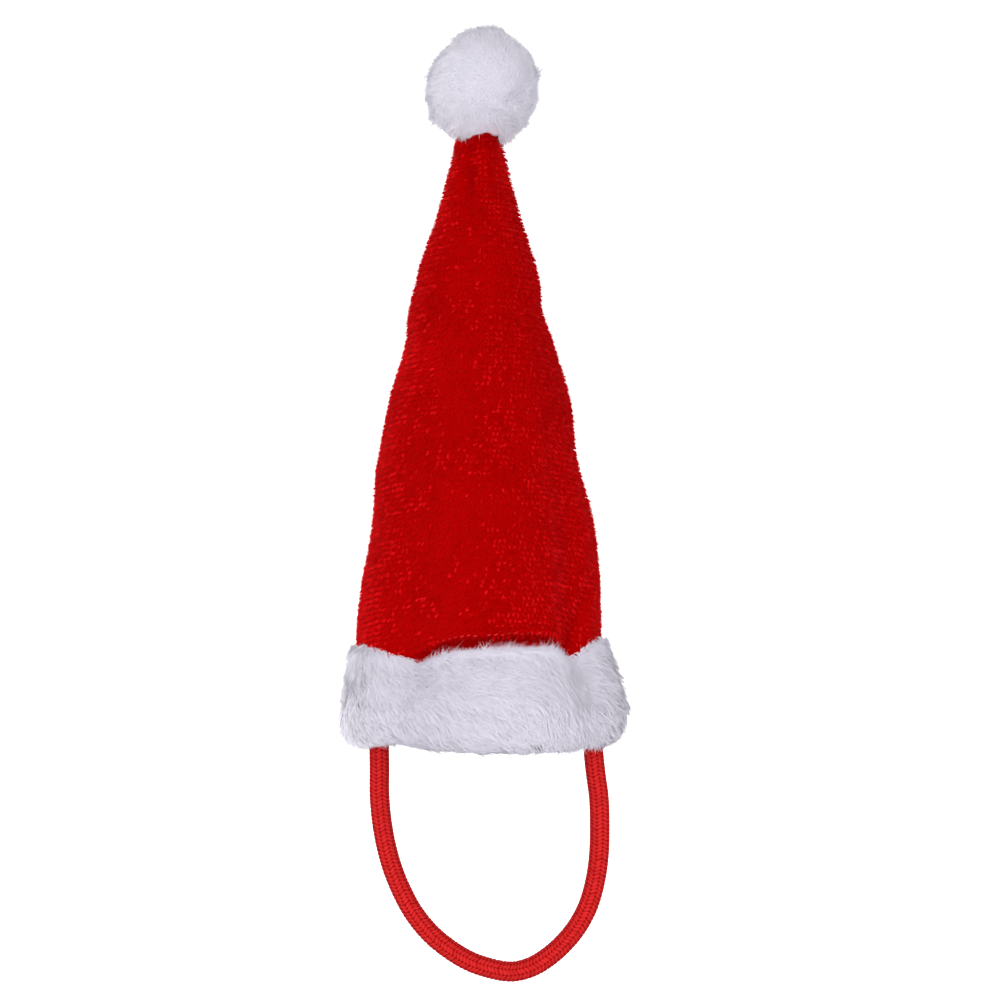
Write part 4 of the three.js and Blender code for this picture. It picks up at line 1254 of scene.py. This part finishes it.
def stage_material():
    material, shader = new_material("pale_stage", 0.0, WHITE_GLOSS)
    tree = material.node_tree
    place = tree.nodes.new("ShaderNodeTexCoord")
    grain = tree.nodes.new("ShaderNodeTexNoise")
    grain.inputs["Scale"].default_value = 3.0
    tree.links.new(place.outputs["Object"], grain.inputs["Vector"])
    tint = tree.nodes.new("ShaderNodeValToRGB")
    tint.color_ramp.elements[0].color = (0.90, 0.90, 0.90, 1.0)
    tint.color_ramp.elements[1].color = (0.93, 0.93, 0.93, 1.0)
    tree.links.new(grain.outputs[0], tint.inputs[0])
    tree.links.new(tint.outputs[0], shader.inputs["Base Color"])
    shader.inputs["Roughness"].default_value = 0.9
    shader.inputs["Emission Color"].default_value = (1.0, 1.0, 1.0, 1.0)
    shader.inputs["Emission Strength"].default_value = 0.8
    clear = tree.nodes.new("ShaderNodeBsdfTransparent")
    geometry = tree.nodes.new("ShaderNodeNewGeometry")
    either = tree.nodes.new("ShaderNodeMixShader")
    tree.links.new(geometry.outputs["Backfacing"], either.inputs[0])
    tree.links.new(shader.outputs[0], either.inputs[1])
    tree.links.new(clear.outputs[0], either.inputs[2])
    tree.links.new(either.outputs[0], tree.nodes["Material Output"].inputs["Surface"])
    return material


def make_stage():
    """A pale floor that sweeps up into a backdrop, clear from behind and below."""
    deselect_all()
    depth = STAGE_DEPTH["back"] - STAGE_DEPTH["front"]
    bpy.ops.mesh.primitive_plane_add(size=1.0)
    sweep = bpy.context.object
    sweep.name = sweep.data.name = "pale_sweep"
    bpy.ops.object.mode_set(mode="EDIT")
    bpy.ops.mesh.select_all(action="SELECT")
    bpy.ops.transform.resize(value=(STAGE_WIDTH, depth, 1.0))
    bpy.ops.transform.translate(value=(0.0, (STAGE_DEPTH["front"] + STAGE_DEPTH["back"]) / 2, FLOOR_HEIGHT))
    bpy.ops.object.mode_set(mode="OBJECT")
    back = max(vertex.co.y for vertex in sweep.data.vertices)
    for vertex in sweep.data.vertices:
        vertex.select = vertex.co.y > back - 0.01
    for edge in sweep.data.edges:
        edge.select = all(sweep.data.vertices[index].select for index in edge.vertices)
    for polygon in sweep.data.polygons:
        polygon.select = False
    bpy.ops.object.mode_set(mode="EDIT")
    for step in range(COVE_STEPS):
        low, high = (math.radians(90.0 * part / COVE_STEPS) for part in (step, step + 1))
        back_shift = COVE_RADIUS * (math.sin(high) - math.sin(low))
        up_shift = COVE_RADIUS * (math.cos(low) - math.cos(high))
        bpy.ops.mesh.extrude_edges_move(TRANSFORM_OT_translate={"value": (0.0, back_shift, up_shift)})
    bpy.ops.mesh.extrude_edges_move(TRANSFORM_OT_translate={"value": (0.0, 0.0, WALL_HEIGHT)})
    bpy.ops.object.mode_set(mode="OBJECT")
    bpy.ops.object.shade_smooth()
    sweep.data.materials.append(stage_material())
    sweep.visible_diffuse = False


def add_softbox(box):
    data = bpy.data.lights.new(box.name, "AREA")
    data.shape, data.size, data.size_y, data.energy = "RECTANGLE", box.width, box.height, box.power
    light = bpy.data.objects.new(box.name, data)
    light.location = box.place
    direction = np.array(box.aim) - np.array(box.place)
    yaw = math.atan2(direction[0], -direction[1])
    pitch = math.atan2(math.hypot(direction[0], direction[1]), -direction[2])
    light.rotation_euler = (pitch, 0.0, math.pi + yaw)
    bpy.context.collection.objects.link(light)


def light_the_hat():
    world = bpy.data.worlds.new("white_room")
    bpy.context.scene.world = world
    world.use_nodes = True
    tree = world.node_tree
    background = tree.nodes["Background"]
    background.inputs["Color"].default_value = (0.97, 0.98, 1.0, 1.0)
    path = tree.nodes.new("ShaderNodeLightPath")
    strength = tree.nodes.new("ShaderNodeMapRange")
    strength.inputs["To Min"].default_value = ROOM_LIGHT["on_hat"]
    strength.inputs["To Max"].default_value = ROOM_LIGHT["behind"]
    tree.links.new(path.outputs["Is Camera Ray"], strength.inputs["Value"])
    tree.links.new(strength.outputs[0], background.inputs["Strength"])
    for box in SOFTBOXES:
        add_softbox(box)
    bpy.context.scene.view_settings.view_transform = "Standard"


make_camera()
make_chin_cord()

crown_cloth = make_crown_cloth()
plush_pile = make_plush_pile()
seam_stitches = make_seam_stitches()
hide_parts("crown")
for piece in (crown_cloth, *plush_pile, seam_stitches):
    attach(piece, "root")

fur_band_backing = make_band_backing()
band_fur = make_band_fur()
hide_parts("fur_band")
for piece in (fur_band_backing, *band_fur):
    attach(piece, "root")

pompom_core = make_pompom_core()
pompom_fur = make_pompom_fur()
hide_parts("pompom")
for piece in (pompom_core, pompom_fur):
    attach(piece, "root")

make_stage()
light_the_hat()
